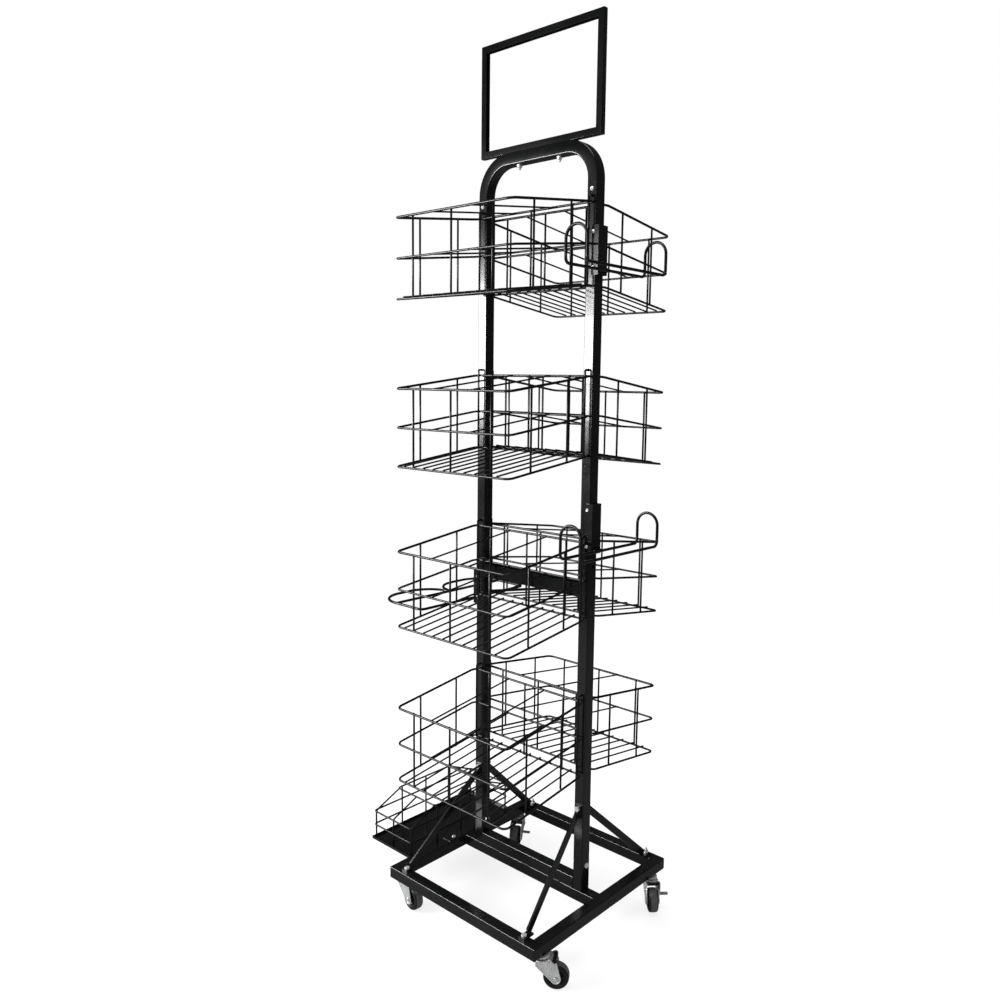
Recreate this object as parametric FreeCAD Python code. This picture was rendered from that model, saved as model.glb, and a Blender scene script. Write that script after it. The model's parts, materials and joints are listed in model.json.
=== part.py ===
import FreeCAD, Part
import math
import os

# Double-sided wire basket display rack on swivel casters, with an umbrella holder.
# Millimetres. The origin is on the floor under the centre of the base, +X runs from
# the left post to the right post, the front baskets face -Y and +Z is up.

V = FreeCAD.Vector
X_AXIS = V(1, 0, 0)
Y_AXIS = V(0, 1, 0)
Z_AXIS = V(0, 0, 1)

# Square tube, common to the base, the posts and the arch
TUBE = 25.0
TUBE_WALL = 1.5
TUBE_CORNER = 2.5
SLEEVE = 21.6                 # outside of the stubs and spigots inside the posts
SLEEVE_WALL = 1.5

# Base and posts
CASTER_HEIGHT = 72.0
BASE_WIDTH = 430.0
BASE_DEPTH = 440.0
BASE_TOP = CASTER_HEIGHT + TUBE
CASTER_X = (BASE_WIDTH - TUBE) / 2
CASTER_Y = 183.0
POST_X = 148.5
POST_TOP = BASE_TOP + 1446.0
POST_INNER_X = POST_X - TUBE / 2
POST_OUTER_X = POST_X + TUBE / 2
STUB_HEIGHT = 80.0
STUB_BOLT_Z = BASE_TOP + 56.0
DRAIN_HOLE_X = 30.0
DRAIN_HOLE_DIAMETER = 6.0
ACCESSORY_HOLE_Z = BASE_TOP + 696.5
ACCESSORY_HOLE_DIAMETER = 6.5

# Arch and sign frame
ARCH_BEND = 67.5
ARCH_TOP = BASE_TOP + 1535.0
ARCH_SPRING = ARCH_TOP - TUBE / 2 - ARCH_BEND
SPIGOT_LENGTH = 22.0
SPIGOT_COLLAR = 2.0
ARCH_SCREW_Z = BASE_TOP + 1434.5
SIGN_WIDTH = 325.0
SIGN_HEIGHT = 228.0
SIGN_DEPTH = 12.0
SIGN_FACE = 14.0
SIGN_SHEET = 1.2
SIGN_BOLT_X = 54.0
SIGN_BOLT_HEAD_RADIUS = 4.6
SIGN_BOLT_HEAD_HEIGHT = 3.5
SIGN_BOLT_END = 5.0                  # shank left showing below its nut

# Crossbar between the posts
BAR_BOTTOM = BASE_TOP + 632.0
BAR_HEIGHT = 28.0
BAR_TAB_HEIGHT = 44.0
BAR_SHEET = 2.0
BAR_SCREW_HEIGHTS = (13.0, 36.0)

# Braces from the base rails to the posts
BRACE_WIDTH = 15.0
BRACE_THICKNESS = 4.0
BRACE_FOOT_X = 174.0
BRACE_FOOT_Y = 205.0
BRACE_HEAD_Z = BASE_TOP + 183.0
BRACE_TAB = 20.0
BRACE_BEND_RISE = 1.6                # strut end above the tab's bend, in half widths

# Baskets
TIER_PITCH = 331.0
LOWEST_RIM_Z = BASE_TOP + 416.0      # rim at the posts; the rim drops outward
TIERS = 4
BASKET_HALF_WIDTH = 158.0
BASKET_INNER_Y = 17.7
BASKET_OUTER_Y = 244.0
BASKET_CORNER = 13.0
RIM_DROP = 31.0
RING_DEPTHS = (0.0, 78.0, 156.5)
RIM_WIRE = 5.0
RING_WIRE = 4.5
UPRIGHT_WIRE = 4.2
FLOOR_WIRE = 3.5
WELD_SINK = 0.6                      # how far crossing wires sink into each other
WALL_UPRIGHT_X = (-108.0, 0.0, 108.0)
SIDE_UPRIGHT_Y = (80.0, 183.0)
DIVIDER_X = 52.0
FLOOR_WIRE_X = (14.4, 43.0, 72.0, 100.5, 129.0)
FLOOR_WIRE_END = 2.6                 # floor wires run this far past the bottom ring
HOOK_RISE = 12.0
HOOK_DEPTH_Y = 7.0
HOOK_TIP = 7.0
HOOK_BEND = 3.2
HOOK_HOLE_DIAMETER = 6.0

# Accessory wire and the channel brackets that carry it
HANGER_WIRE = 6.0
BRACKET_SHEET = 2.0
BRACKET_WEB_X = 168.0                # outer face of the web
BRACKET_BACK_X = 151.5               # free edges of the flanges
BRACKET_GAP = 0.1                    # running gap between flange and post
BRACKET_ARM_Y = 8.0
BRACKET_ARM_TAIL = 3.0
BRACKET_SCREW_X = 155.5
BRACKET_BELOW_WIRE = 8.0             # web below the wire it carries

# Right-hand rail hangers
RAIL_INNER_X = 180.0
RAIL_OUTER_X = 230.0
RAIL_HALF_LENGTH = 125.0
RAIL_LOOP_HEIGHT = 67.0
RAIL_TOP_BEND = 24.9
RAIL_FOOT_BEND = 10.0
LOWER_RAIL_Z = BASE_TOP + 732.0
UPPER_RAIL_Z = BASE_TOP + 1280.0
LOWER_BRACKET_TOP = BASE_TOP + 825.0
UPPER_BRACKET_TOP = BASE_TOP + 1366.0

# Left-hand umbrella ring
RING_Z = BASE_TOP + 575.0
RING_BRACKET_TOP = BASE_TOP + 642.0
RING_NEAR_X = -178.0
RING_SPINE_X = -262.0
RING_HALF_LENGTH = 160.0
RING_CORNER = 12.0
RING_OUTER_X = -328.0
RING_BAY_BEND = 62.0
RING_WAIST_Y = 3.2                   # half the spacing of the two bays where they meet

# Umbrella drip tray and its wire guard
TRAY_OUTER_X = -355.0
TRAY_INNER_X = -217.0
TRAY_HALF_LENGTH = 160.0
TRAY_FLOOR_Z = BASE_TOP - 10.0
TRAY_LIP = 6.0
TRAY_SHEET = 1.2
TRAY_HOOK_X = -194.0
TRAY_HOOK_HALF_LENGTH = 60.0
TRAY_SCREW_Y = 40.0
TRAY_SCREW_X = -203.0
GUARD_WIRE = 4.0
GUARD_OUTER_X = -352.0
GUARD_INNER_X = -218.5
GUARD_HALF_LENGTH = 156.0
GUARD_RING_Z = (BASE_TOP + 25.0, BASE_TOP + 58.0)
GUARD_TOP_Z = BASE_TOP + 89.0
GUARD_TOP_HALF_LENGTH = 85.0
GUARD_CORNER = 8.0
GUARD_UPRIGHT_Y = (0.0, 75.0)

# Swivel caster, drawn with the trail along +X and the swivel axis at the origin
STEM_DIAMETER = 10.0
STEM_TOP = 90.0
STEM_HEX = 17.0
RACE_DIAMETER = 30.0
RACE_TOP = 68.0
RACE_BOTTOM = 64.5
BALL_DIAMETER = 3.94
BALL_CIRCLE_RADIUS = 10.5
BALLS = 9
FORK_PLATE_DIAMETER = 32.0
FORK_PLATE_BOTTOM = 57.0
FORK_PLATE_TOP = 60.5
FORK_PLATE_END_X = 16.0
KINGPIN_DIAMETER = 8.0
KINGPIN_HEAD_DIAMETER = 14.0
KINGPIN_BOTTOM = 53.5
RUNNING_GAP = 0.05
LEG_INNER_Y = 12.5
LEG_SHEET = 2.5
LEG_OUTER_Y = LEG_INNER_Y + LEG_SHEET
LEG_REAR = (-12.0, 49.5)             # lowest corner of the leg behind the stem
LEG_TIP = (29.5, 58.5)               # highest corner over the wheel
LEG_NOTCH = (25.0, 56.5)             # bottom of the vee the brake bar shows through
LEG_CREST = ((17.0, 64.0), (13.0, 65.0), (11.0, FORK_PLATE_TOP))
TRAIL = 28.0
WHEEL_DIAMETER = 51.0
WHEEL_WIDTH = 20.0
TYRE_SHOULDER = 4.0
HUB_DIAMETER = 34.0
HUB_WIDTH = 24.4
HUB_FACE_WIDTH = 17.0
HUB_RIM = 3.0
HUB_DISH = 4.5
HUB_BOSS_DIAMETER = 14.0
AXLE_Z = WHEEL_DIAMETER / 2
AXLE_DIAMETER = 6.0
AXLE_EYE_RADIUS = 10.0
RIVET_HEAD = (9.0, 2.0)              # diameter and height
BRAKE_PIN = (6.0, 50.5)              # x and z of the rivet the brake lever turns on
BRAKE_PIN_DIAMETER = 5.0
BRAKE_BAR = (25.0, 60.5)             # x and z of the bar when released
BRAKE_BAR_DIAMETER = 7.0
BRAKE_TURN = 16.0                    # degrees from released to just clear of the tread
BRAKE_SLOT_WIDTH = 10.8
BRAKE_CLEARANCE = 0.3                # side gap between the brake and the legs
LEVER_INNER_Y = LEG_OUTER_Y + BRAKE_CLEARANCE
LEVER_SHEET = 2.0
LEVER_OUTER_Y = LEVER_INNER_Y + LEVER_SHEET
LEVER_FOOT = (24.5, 41.0)            # x and z where the foot tab leaves the lever
LEVER_RADIUS = 4.5
TAB_HALF_LENGTH = 5.0
TAB_OUTER_Y = 35.0
TAB_SHEET = 2.0

# Fasteners: across flats, head height and nut height by thread size
HEX_SIZES = {6.0: (10.0, 4.0, 5.0), 8.0: (13.0, 5.0, 6.0)}
THREAD_GAP = 0.03
BOLT_HOLE_GAP = 0.3

# Trail direction of each caster, degrees from +X
CASTERS = {
    "front_left": (-1, -1, -7.0),
    "front_right": (1, -1, 34.0),
    "back_left": (-1, 1, -60.0),
    "back_right": (1, 1, -44.0),
}


# ---------------------------------------------------------------- basic shapes

def box(x_limits, y_limits, z_limits):
    """Box between two limits on each axis."""
    size = [limits[1] - limits[0] for limits in (x_limits, y_limits, z_limits)]
    return Part.makeBox(*size, V(x_limits[0], y_limits[0], z_limits[0]))


def rod(start, end, diameter):
    """Round bar between two points."""
    run = end - start
    return Part.makeCylinder(diameter / 2, run.Length, start, run)


def fused(shapes):
    """One solid from shapes that meet, with seams between coplanar faces removed."""
    return shapes[0].multiFuse(shapes[1:]).removeSplitter()


def group(shapes):
    """Separate solids kept together in one node."""
    return Part.makeCompound(shapes)


def turned_to(shape, seat, axis):
    """Copy of a shape built up +Z from the origin, moved to a seat and turned to an axis."""
    copy = shape.copy()
    copy.Placement = FreeCAD.Placement(seat, FreeCAD.Rotation(Z_AXIS, axis))
    return copy


def moved(shape, offset):
    copy = shape.copy()
    copy.translate(offset)
    return copy


def half_turn(shape):
    """Copy turned half a turn about the vertical axis."""
    copy = shape.copy()
    copy.rotate(V(0, 0, 0), Z_AXIS, 180)
    return copy


def mirrored(shape, normal):
    return shape.mirror(V(0, 0, 0), normal)


def unit(vector):
    return vector * (1.0 / vector.Length)


def rounded_square(size, corner, centre=V(0, 0, 0), normal=Z_AXIS):
    """Closed wire: a square with rounded corners, square to the normal."""
    half = size / 2
    corners = [V(half, half, 0), V(-half, half, 0), V(-half, -half, 0), V(half, -half, 0)]
    wire = Part.Wire(path_edges(corners, corner, closed=True))
    return turned_to(wire, centre, normal)


def square_tube(start, end, size=TUBE, wall=TUBE_WALL, corner=TUBE_CORNER):
    """Straight square tube, open at both ends."""
    run = end - start
    outer = Part.Face(rounded_square(size, corner, start, run)).extrude(run)
    inner = Part.Face(rounded_square(size - 2 * wall, corner - wall / 2, start, run)).extrude(run)
    return outer.cut(inner)


def path_edges(points, bend_radius, closed=False):
    """Straight runs through the points with one bend radius at every corner."""
    count = len(points)
    entries = {}
    exits = {}
    arcs = {}
    corners = range(count) if closed else range(1, count - 1)
    for i in corners:
        corner = points[i]
        back = unit(points[i - 1] - corner)
        ahead = unit(points[(i + 1) % count] - corner)
        half_angle = back.getAngle(ahead) / 2
        setback = bend_radius / math.tan(half_angle)
        sagitta = bend_radius / math.sin(half_angle) - bend_radius
        entries[i] = corner + back * setback
        exits[i] = corner + ahead * setback
        middle = corner + unit(back + ahead) * sagitta
        arcs[i] = Part.Arc(entries[i], middle, exits[i]).toShape()
    edges = []
    for i in range(count if closed else count - 1):
        following = (i + 1) % count
        run_start = exits.get(i, points[i])
        run_end = entries.get(following, points[following])
        if (run_end - run_start).Length > 1e-6:
            edges.append(Part.makeLine(run_start, run_end))
        if following in arcs:
            edges.append(arcs[following])
    return edges


def bent_wire(points, diameter, bend_radius, closed=False):
    """Round wire through the points, bent at every corner."""
    edges = path_edges(points, bend_radius, closed)
    return swept_wire(edges, diameter)


def swept_wire(edges, diameter):
    """Round wire along connected edges; the first edge is straight."""
    start = edges[0].Vertexes[0].Point
    along = edges[0].Vertexes[-1].Point - start
    section = Part.Wire(Part.makeCircle(diameter / 2, start, along))
    return Part.Wire(edges).makePipeShell([section], True, False)


# ------------------------------------------------------------------- fasteners

def hexagon(across_flats, height):
    """Hexagonal prism standing on the origin."""
    radius = across_flats / math.sqrt(3)
    turns = [math.radians(60 * i) for i in range(7)]
    outline = Part.makePolygon([V(radius * math.cos(t), radius * math.sin(t), 0) for t in turns])
    return Part.Face(outline).extrude(V(0, 0, height))


def hex_bolt(seat, axis, size, length):
    """Bolt whose head stands on the seat and whose shank runs along the axis."""
    across_flats, head_height, _ = HEX_SIZES[size]
    head = moved(hexagon(across_flats, head_height), V(0, 0, -head_height))
    shank = Part.makeCylinder(size / 2, length)
    return turned_to(fused([head, shank]), seat, axis)


def hex_nut(seat, axis, size):
    """Nut standing on the seat, away from the clamped face."""
    across_flats, _, nut_height = HEX_SIZES[size]
    bore = Part.makeCylinder(size / 2 + THREAD_GAP, nut_height)
    return turned_to(hexagon(across_flats, nut_height).cut(bore), seat, axis)


def pan_screw(seat, axis, size, length):
    """Pan-head screw: domed head on the seat, shank along the axis."""
    head_radius = size * 0.92
    head_height = size * 0.55
    head = Part.makeCylinder(head_radius, head_height, V(0, 0, -head_height))
    head = head.makeFillet(head_height * 0.6, [head.Edges[2]])
    recess = Part.makeCylinder(size * 0.28, head_height * 0.5, V(0, 0, -head_height))
    shank = Part.makeCylinder(size / 2, length)
    return turned_to(fused([head, shank]).cut(recess), seat, axis)


def bolt_hole(shape, point, axis, size, depth):
    """Clearance hole from a point along an axis."""
    drill = Part.makeCylinder((size + BOLT_HOLE_GAP) / 2, depth, point, axis)
    return shape.cut(drill)


# -------------------------------------------------------------- base and posts

def base_ring():
    """Mitred rectangle of square tube, hollow all the way round."""
    half_x = BASE_WIDTH / 2
    half_y = BASE_DEPTH / 2
    levels = (CASTER_HEIGHT, BASE_TOP)
    outer = box((-half_x, half_x), (-half_y, half_y), levels)
    uprights = [edge for edge in outer.Edges if abs(edge.tangentAt(0).z) > 0.9]
    outer = outer.makeFillet(TUBE_CORNER, uprights)
    window = box((TUBE - half_x, half_x - TUBE), (TUBE - half_y, half_y - TUBE), levels)
    ring = outer.cut(window)
    long_edges = [edge for edge in ring.Edges if abs(edge.tangentAt(edge.FirstParameter).z) < 0.1]
    ring = ring.makeFillet(TUBE_CORNER * 0.8, long_edges)
    inset = TUBE_WALL
    far = TUBE - TUBE_WALL
    inner_levels = (CASTER_HEIGHT + inset, BASE_TOP - inset)
    cavity = box((inset - half_x, half_x - inset), (inset - half_y, half_y - inset), inner_levels)
    core = box((far - half_x, half_x - far), (far - half_y, half_y - far), inner_levels)
    return ring.cut(cavity.cut(core))


def base_frame():
    """Rail ring, centre member, lower cross tube and post stubs, welded into one piece."""
    reach = BASE_WIDTH / 2 - TUBE + 0.5
    member_z = CASTER_HEIGHT + TUBE / 2
    member = square_tube(V(-reach, 0, member_z), V(reach, 0, member_z))
    cross_z = BASE_TOP + TUBE / 2
    cross = square_tube(V(-POST_INNER_X + 0.2, 0, cross_z), V(POST_INNER_X - 0.2, 0, cross_z))
    frame = fused([base_ring(), member, cross])
    sunk = 0.5
    for side in (-1, 1):
        foot = V(side * POST_X, 0, BASE_TOP - sunk)
        top = V(side * POST_X, 0, BASE_TOP + STUB_HEIGHT)
        frame = frame.fuse(square_tube(foot, top, SLEEVE, SLEEVE_WALL))
    for side in (-1, 1):
        frame = bolt_hole(frame, V(side * (POST_X - SLEEVE), 0, STUB_BOLT_Z), X_AXIS * side, 6, 2 * SLEEVE)
    drain_depth = BASE_TOP + 2 * TUBE_WALL - CASTER_HEIGHT
    drain = Part.makeCylinder(DRAIN_HOLE_DIAMETER / 2, drain_depth, V(DRAIN_HOLE_X, 0, CASTER_HEIGHT))
    frame = frame.cut(drain)
    for side_x in (-1, 1):
        for side_y in (-1, 1):
            corner = V(side_x * CASTER_X, side_y * CASTER_Y, CASTER_HEIGHT)
            stem_hole = Part.makeCylinder(STEM_DIAMETER / 2 + RUNNING_GAP, 2 * TUBE_WALL, corner)
            frame = frame.cut(stem_hole)
            foot = V(side_x * BRACE_FOOT_X, side_y * BRACE_FOOT_Y, BASE_TOP - 2 * TUBE_WALL)
            frame = bolt_hole(frame, foot, Z_AXIS, 6, 3 * TUBE_WALL)
    for y in (-TRAY_SCREW_Y, TRAY_SCREW_Y):
        frame = bolt_hole(frame, V(TRAY_SCREW_X, y, BASE_TOP - 2 * TUBE_WALL), Z_AXIS, 5, 3 * TUBE_WALL)
    return frame


def rim_heights():
    """Height of the rim at the posts for every tier, lowest first."""
    return [LOWEST_RIM_Z + tier * TIER_PITCH for tier in range(TIERS)]


def post(side, bracket_screw_heights):
    """Upright on one side with its bolt, hook and screw holes."""
    x = side * POST_X
    tube = square_tube(V(x, 0, BASE_TOP), V(x, 0, POST_TOP))
    through = TUBE + 2.0
    tube = bolt_hole(tube, V(x - through / 2, 0, STUB_BOLT_Z), X_AXIS, 6, through)
    tube = bolt_hole(tube, V(x, -through / 2, BRACE_HEAD_Z), Y_AXIS, 6, through)
    for rim_z in rim_heights():
        start = V(x, -through / 2, rim_z + HOOK_RISE)
        tube = tube.cut(Part.makeCylinder(HOOK_HOLE_DIAMETER / 2, through, start, Y_AXIS))
    tube = bolt_hole(tube, V(x, 0, ARCH_SCREW_Z), Y_AXIS * -1, 5, TUBE)
    for height in BAR_SCREW_HEIGHTS:
        tube = bolt_hole(tube, V(x, 0, BAR_BOTTOM + height), X_AXIS * -side, 5, TUBE)
    for height in bracket_screw_heights:
        start = V(side * BRACKET_SCREW_X, -through / 2, height)
        tube = bolt_hole(tube, start, Y_AXIS, 4, through)
    return tube


def accessory_hole(tube):
    """Spare hole in the outer face of the right post."""
    start = V(POST_OUTER_X - 2 * TUBE_WALL, 0, ACCESSORY_HOLE_Z)
    return tube.cut(Part.makeCylinder(ACCESSORY_HOLE_DIAMETER / 2, 3 * TUBE_WALL, start, X_AXIS))


def post_bolts():
    """One through bolt per post, head outside."""
    length = TUBE + HEX_SIZES[6][2] + 2.0
    return group([
        hex_bolt(V(side * POST_OUTER_X, 0, STUB_BOLT_Z), X_AXIS * -side, 6, length)
        for side in (-1, 1)
    ])


def post_nuts():
    return group([hex_nut(V(side * POST_INNER_X, 0, STUB_BOLT_Z), X_AXIS * -side, 6) for side in (-1, 1)])


# -------------------------------------------------------------- arch and sign

def arch_tube():
    """Bent top tube with a swaged spigot at each end."""
    top_z = ARCH_TOP - TUBE / 2
    corners = [V(-POST_X, 0, POST_TOP), V(-POST_X, 0, top_z), V(POST_X, 0, top_z), V(POST_X, 0, POST_TOP)]
    path = Part.Wire(path_edges(corners, ARCH_BEND))
    outer = path.makePipeShell([rounded_square(TUBE, TUBE_CORNER, corners[0])], True, False)
    inner_corner = TUBE_CORNER - TUBE_WALL / 2
    bore = rounded_square(TUBE - 2 * TUBE_WALL, inner_corner, corners[0])
    tube = outer.cut(path.makePipeShell([bore], True, False))
    pieces = [tube]
    for side in (-1, 1):
        x = side * POST_X
        joint = V(x, 0, POST_TOP)
        collar_wall = (TUBE - SLEEVE) / 2 + SLEEVE_WALL
        pieces.append(square_tube(joint, joint + V(0, 0, SPIGOT_COLLAR), TUBE, collar_wall))
        pieces.append(square_tube(joint - V(0, 0, SPIGOT_LENGTH), joint, SLEEVE, SLEEVE_WALL))
    arch = fused(pieces)
    for side in (-1, 1):
        arch = bolt_hole(arch, V(side * POST_X, 0, ARCH_SCREW_Z), Y_AXIS * -1, 5, TUBE)
        arch = bolt_hole(arch, V(side * SIGN_BOLT_X, 0, ARCH_TOP - 2 * TUBE), Z_AXIS, 6, 3 * TUBE)
    return arch


def arch_screws():
    """Screws that pin the spigots in the posts."""
    return group([pan_screw(V(side * POST_X, -TUBE / 2, ARCH_SCREW_Z), Y_AXIS, 5, 8) for side in (-1, 1)])


def sign_frame():
    """Channel ring, open toward the middle, that takes a sheet of card."""
    half_width = SIGN_WIDTH / 2
    depth = (-SIGN_DEPTH / 2, SIGN_DEPTH / 2)
    top = ARCH_TOP + SIGN_HEIGHT
    blank = box((-half_width, half_width), depth, (ARCH_TOP, top))
    inner = half_width - SIGN_FACE
    window = box((-inner, inner), depth, (ARCH_TOP + SIGN_FACE, top - SIGN_FACE))
    groove_x = half_width - SIGN_SHEET
    groove_y = SIGN_DEPTH / 2 - SIGN_SHEET
    groove = box((-groove_x, groove_x), (-groove_y, groove_y), (ARCH_TOP + SIGN_SHEET, top - SIGN_SHEET))
    ring = blank.cut(window).cut(groove)
    for side in (-1, 1):
        ring = bolt_hole(ring, V(side * SIGN_BOLT_X, 0, ARCH_TOP - 1), Z_AXIS, 6, 3)
    return ring


def sign_bolts():
    """Pan-head bolts down through the frame and the arch."""
    length = SIGN_SHEET + TUBE + HEX_SIZES[6][2] + SIGN_BOLT_END
    seat_z = ARCH_TOP + SIGN_SHEET
    bolts = []
    for side in (-1, 1):
        head = Part.makeCylinder(SIGN_BOLT_HEAD_RADIUS, SIGN_BOLT_HEAD_HEIGHT)
        shank = Part.makeCylinder(3, length, V(0, 0, 0), Z_AXIS * -1)
        bolts.append(moved(fused([head, shank]), V(side * SIGN_BOLT_X, 0, seat_z)))
    return group(bolts)


def sign_nuts():
    underside = ARCH_TOP - TUBE
    return group([hex_nut(V(side * SIGN_BOLT_X, 0, underside), Z_AXIS * -1, 6) for side in (-1, 1)])


# ------------------------------------------------------- crossbar and braces

def crossbar():
    """Open-topped channel with an upturned tab against each post."""
    half_y = TUBE / 2
    reach = POST_INNER_X
    channel = box((-reach, reach), (-half_y, half_y), (BAR_BOTTOM, BAR_BOTTOM + BAR_HEIGHT))
    hollow_y = half_y - BAR_SHEET
    hollow = box((-reach, reach), (-hollow_y, hollow_y), (BAR_BOTTOM + BAR_SHEET, BAR_BOTTOM + BAR_HEIGHT))
    pieces = [channel.cut(hollow)]
    for side in (-1, 1):
        ends = sorted((side * reach, side * (reach - BAR_SHEET)))
        pieces.append(box(ends, (-half_y, half_y), (BAR_BOTTOM, BAR_BOTTOM + BAR_TAB_HEIGHT)))
    bar = fused(pieces)
    for side in (-1, 1):
        for height in BAR_SCREW_HEIGHTS:
            start = V(side * (reach - 2 * BAR_SHEET), 0, BAR_BOTTOM + height)
            bar = bolt_hole(bar, start, X_AXIS * side, 5, 3 * BAR_SHEET)
    return bar


def crossbar_screws():
    seat_x = POST_INNER_X - BAR_SHEET
    return group([
        pan_screw(V(side * seat_x, 0, BAR_BOTTOM + height), X_AXIS * side, 5, 9)
        for side in (-1, 1) for height in BAR_SCREW_HEIGHTS
    ])


def flat_bar(start, end, face_normal):
    """Flat bar between two points with its wide face toward the given direction."""
    along = unit(end - start)
    across = unit(along.cross(face_normal))
    normal = across.cross(along)
    corners = []
    for a, n in ((-1, -1), (1, -1), (1, 1), (-1, 1)):
        corners.append(start + across * (a * BRACE_WIDTH / 2) + normal * (n * BRACE_THICKNESS / 2))
    return Part.Face(Part.makePolygon(corners + [corners[0]])).extrude(end - start)


def right_front_brace():
    """Flat brace with a tab on the front rail and a tab on the post face."""
    face_y = -TUBE / 2
    half = BRACE_WIDTH / 2
    foot_z = (BASE_TOP, BASE_TOP + BRACE_THICKNESS)
    foot = box((BRACE_FOOT_X - half, BRACE_FOOT_X + half),
               (-BRACE_FOOT_Y - half, -BRACE_FOOT_Y + BRACE_TAB), foot_z)
    head_y = (face_y - BRACE_THICKNESS, face_y)
    head = box((POST_X - half, POST_X + half), head_y, (BRACE_HEAD_Z - BRACE_TAB, BRACE_HEAD_Z + half))
    low = V(BRACE_FOOT_X, -BRACE_FOOT_Y + BRACE_TAB - half, BASE_TOP + 2 * BRACE_THICKNESS)
    high = V(POST_X, face_y - BRACE_THICKNESS * BRACE_BEND_RISE, BRACE_HEAD_Z - half * BRACE_BEND_RISE)
    strut = flat_bar(low, high, X_AXIS)
    brace = fused([foot, strut, head])
    keep = box((0, BASE_WIDTH), (-BASE_DEPTH, face_y), (BASE_TOP, 2 * BRACE_HEAD_Z))
    brace = brace.common(keep)
    brace = bolt_hole(brace, V(BRACE_FOOT_X, -BRACE_FOOT_Y, BASE_TOP - 1), Z_AXIS, 6, 2 * BRACE_THICKNESS)
    return bolt_hole(brace, V(POST_X, face_y + 1, BRACE_HEAD_Z), Y_AXIS * -1, 6, 2 * BRACE_THICKNESS)


def brace_bolts():
    """Foot bolts into the rails and one through bolt per post for the brace heads."""
    tab_top = BASE_TOP + BRACE_THICKNESS
    bolts = []
    for side in (-1, 1):
        bolts.append(hex_bolt(V(side * BRACE_FOOT_X, -BRACE_FOOT_Y, tab_top), Z_AXIS * -1, 6, 18))
        inside = V(side * BRACE_FOOT_X, BRACE_FOOT_Y, BASE_TOP - TUBE_WALL)
        bolts.append(hex_bolt(inside, Z_AXIS, 6, 17))
        seat_y = -TUBE / 2 - BRACE_THICKNESS
        length = TUBE + 2 * BRACE_THICKNESS + HEX_SIZES[6][2] + 2.0
        bolts.append(hex_bolt(V(side * POST_X, seat_y, BRACE_HEAD_Z), Y_AXIS, 6, length))
    return group(bolts)


def brace_nuts():
    """Nuts on the rear foot bolts and behind the brace heads."""
    nuts = []
    for side in (-1, 1):
        nuts.append(hex_nut(V(side * BRACE_FOOT_X, BRACE_FOOT_Y, BASE_TOP + BRACE_THICKNESS), Z_AXIS, 6))
        nuts.append(hex_nut(V(side * POST_X, TUBE / 2 + BRACE_THICKNESS, BRACE_HEAD_Z), Y_AXIS, 6))
    return group(nuts)


# --------------------------------------------------------------------- baskets

def basket_point(x, distance, depth, lift=0.0):
    """Point in the front basket, below the rim plane, which drops toward the front."""
    slope = RIM_DROP / (BASKET_OUTER_Y - BASKET_INNER_Y)
    return V(x, -distance, lift - depth - slope * (distance - BASKET_INNER_Y))


def basket_ring(depth, diameter):
    half = BASKET_HALF_WIDTH
    corners = [
        basket_point(0, BASKET_OUTER_Y, depth),
        basket_point(half, BASKET_OUTER_Y, depth),
        basket_point(half, BASKET_INNER_Y, depth),
        basket_point(-half, BASKET_INNER_Y, depth),
        basket_point(-half, BASKET_OUTER_Y, depth),
        basket_point(0, BASKET_OUTER_Y, depth),
    ]
    return bent_wire(corners, diameter, BASKET_CORNER)


def basket_upright(x, distance):
    """Vertical wire welded inside the rings."""
    return rod(basket_point(x, distance, 0), basket_point(x, distance, RING_DEPTHS[-1]), UPRIGHT_WIRE)


def basket_hook(x):
    """Upright at a post that rises past the rim and hooks into the post."""
    inset = BASKET_INNER_Y + RIM_WIRE / 2 + RING_WIRE / 2 - WELD_SINK
    points = [
        basket_point(x, inset, RING_DEPTHS[-1]),
        V(x, -inset, HOOK_RISE),
        V(x, -HOOK_DEPTH_Y, HOOK_RISE),
        V(x, -HOOK_DEPTH_Y, HOOK_RISE - HOOK_TIP),
    ]
    return bent_wire(points, RING_WIRE, HOOK_BEND)


def front_basket():
    """Sloping wire basket with its rim height at the posts on z = 0."""
    inset = RIM_WIRE / 2 + UPRIGHT_WIRE / 2 - WELD_SINK
    wires = [basket_ring(RING_DEPTHS[0], RIM_WIRE)]
    wires += [basket_ring(depth, RING_WIRE) for depth in RING_DEPTHS[1:]]
    for x in WALL_UPRIGHT_X:
        wires.append(basket_upright(x, BASKET_OUTER_Y - inset))
        wires.append(basket_upright(x, BASKET_INNER_Y + inset))
    for side in (-1, 1):
        for distance in SIDE_UPRIGHT_Y:
            wires.append(basket_upright(side * (BASKET_HALF_WIDTH - inset), distance))
        for depth in RING_DEPTHS[:2]:
            start = basket_point(side * DIVIDER_X, BASKET_INNER_Y, depth)
            end = basket_point(side * DIVIDER_X, BASKET_OUTER_Y, depth)
            wires.append(rod(start, end, FLOOR_WIRE))
        wires.append(basket_hook(side * POST_X))
        lift = RING_WIRE / 2 + FLOOR_WIRE / 2 - WELD_SINK
        for x in FLOOR_WIRE_X:
            start = basket_point(side * x, BASKET_INNER_Y - FLOOR_WIRE_END, RING_DEPTHS[-1], lift)
            end = basket_point(side * x, BASKET_OUTER_Y + FLOOR_WIRE_END, RING_DEPTHS[-1], lift)
            wires.append(rod(start, end, FLOOR_WIRE))
    return wires[0].multiFuse(wires[1:])


# ------------------------------------------------- brackets, hangers and rings

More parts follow.
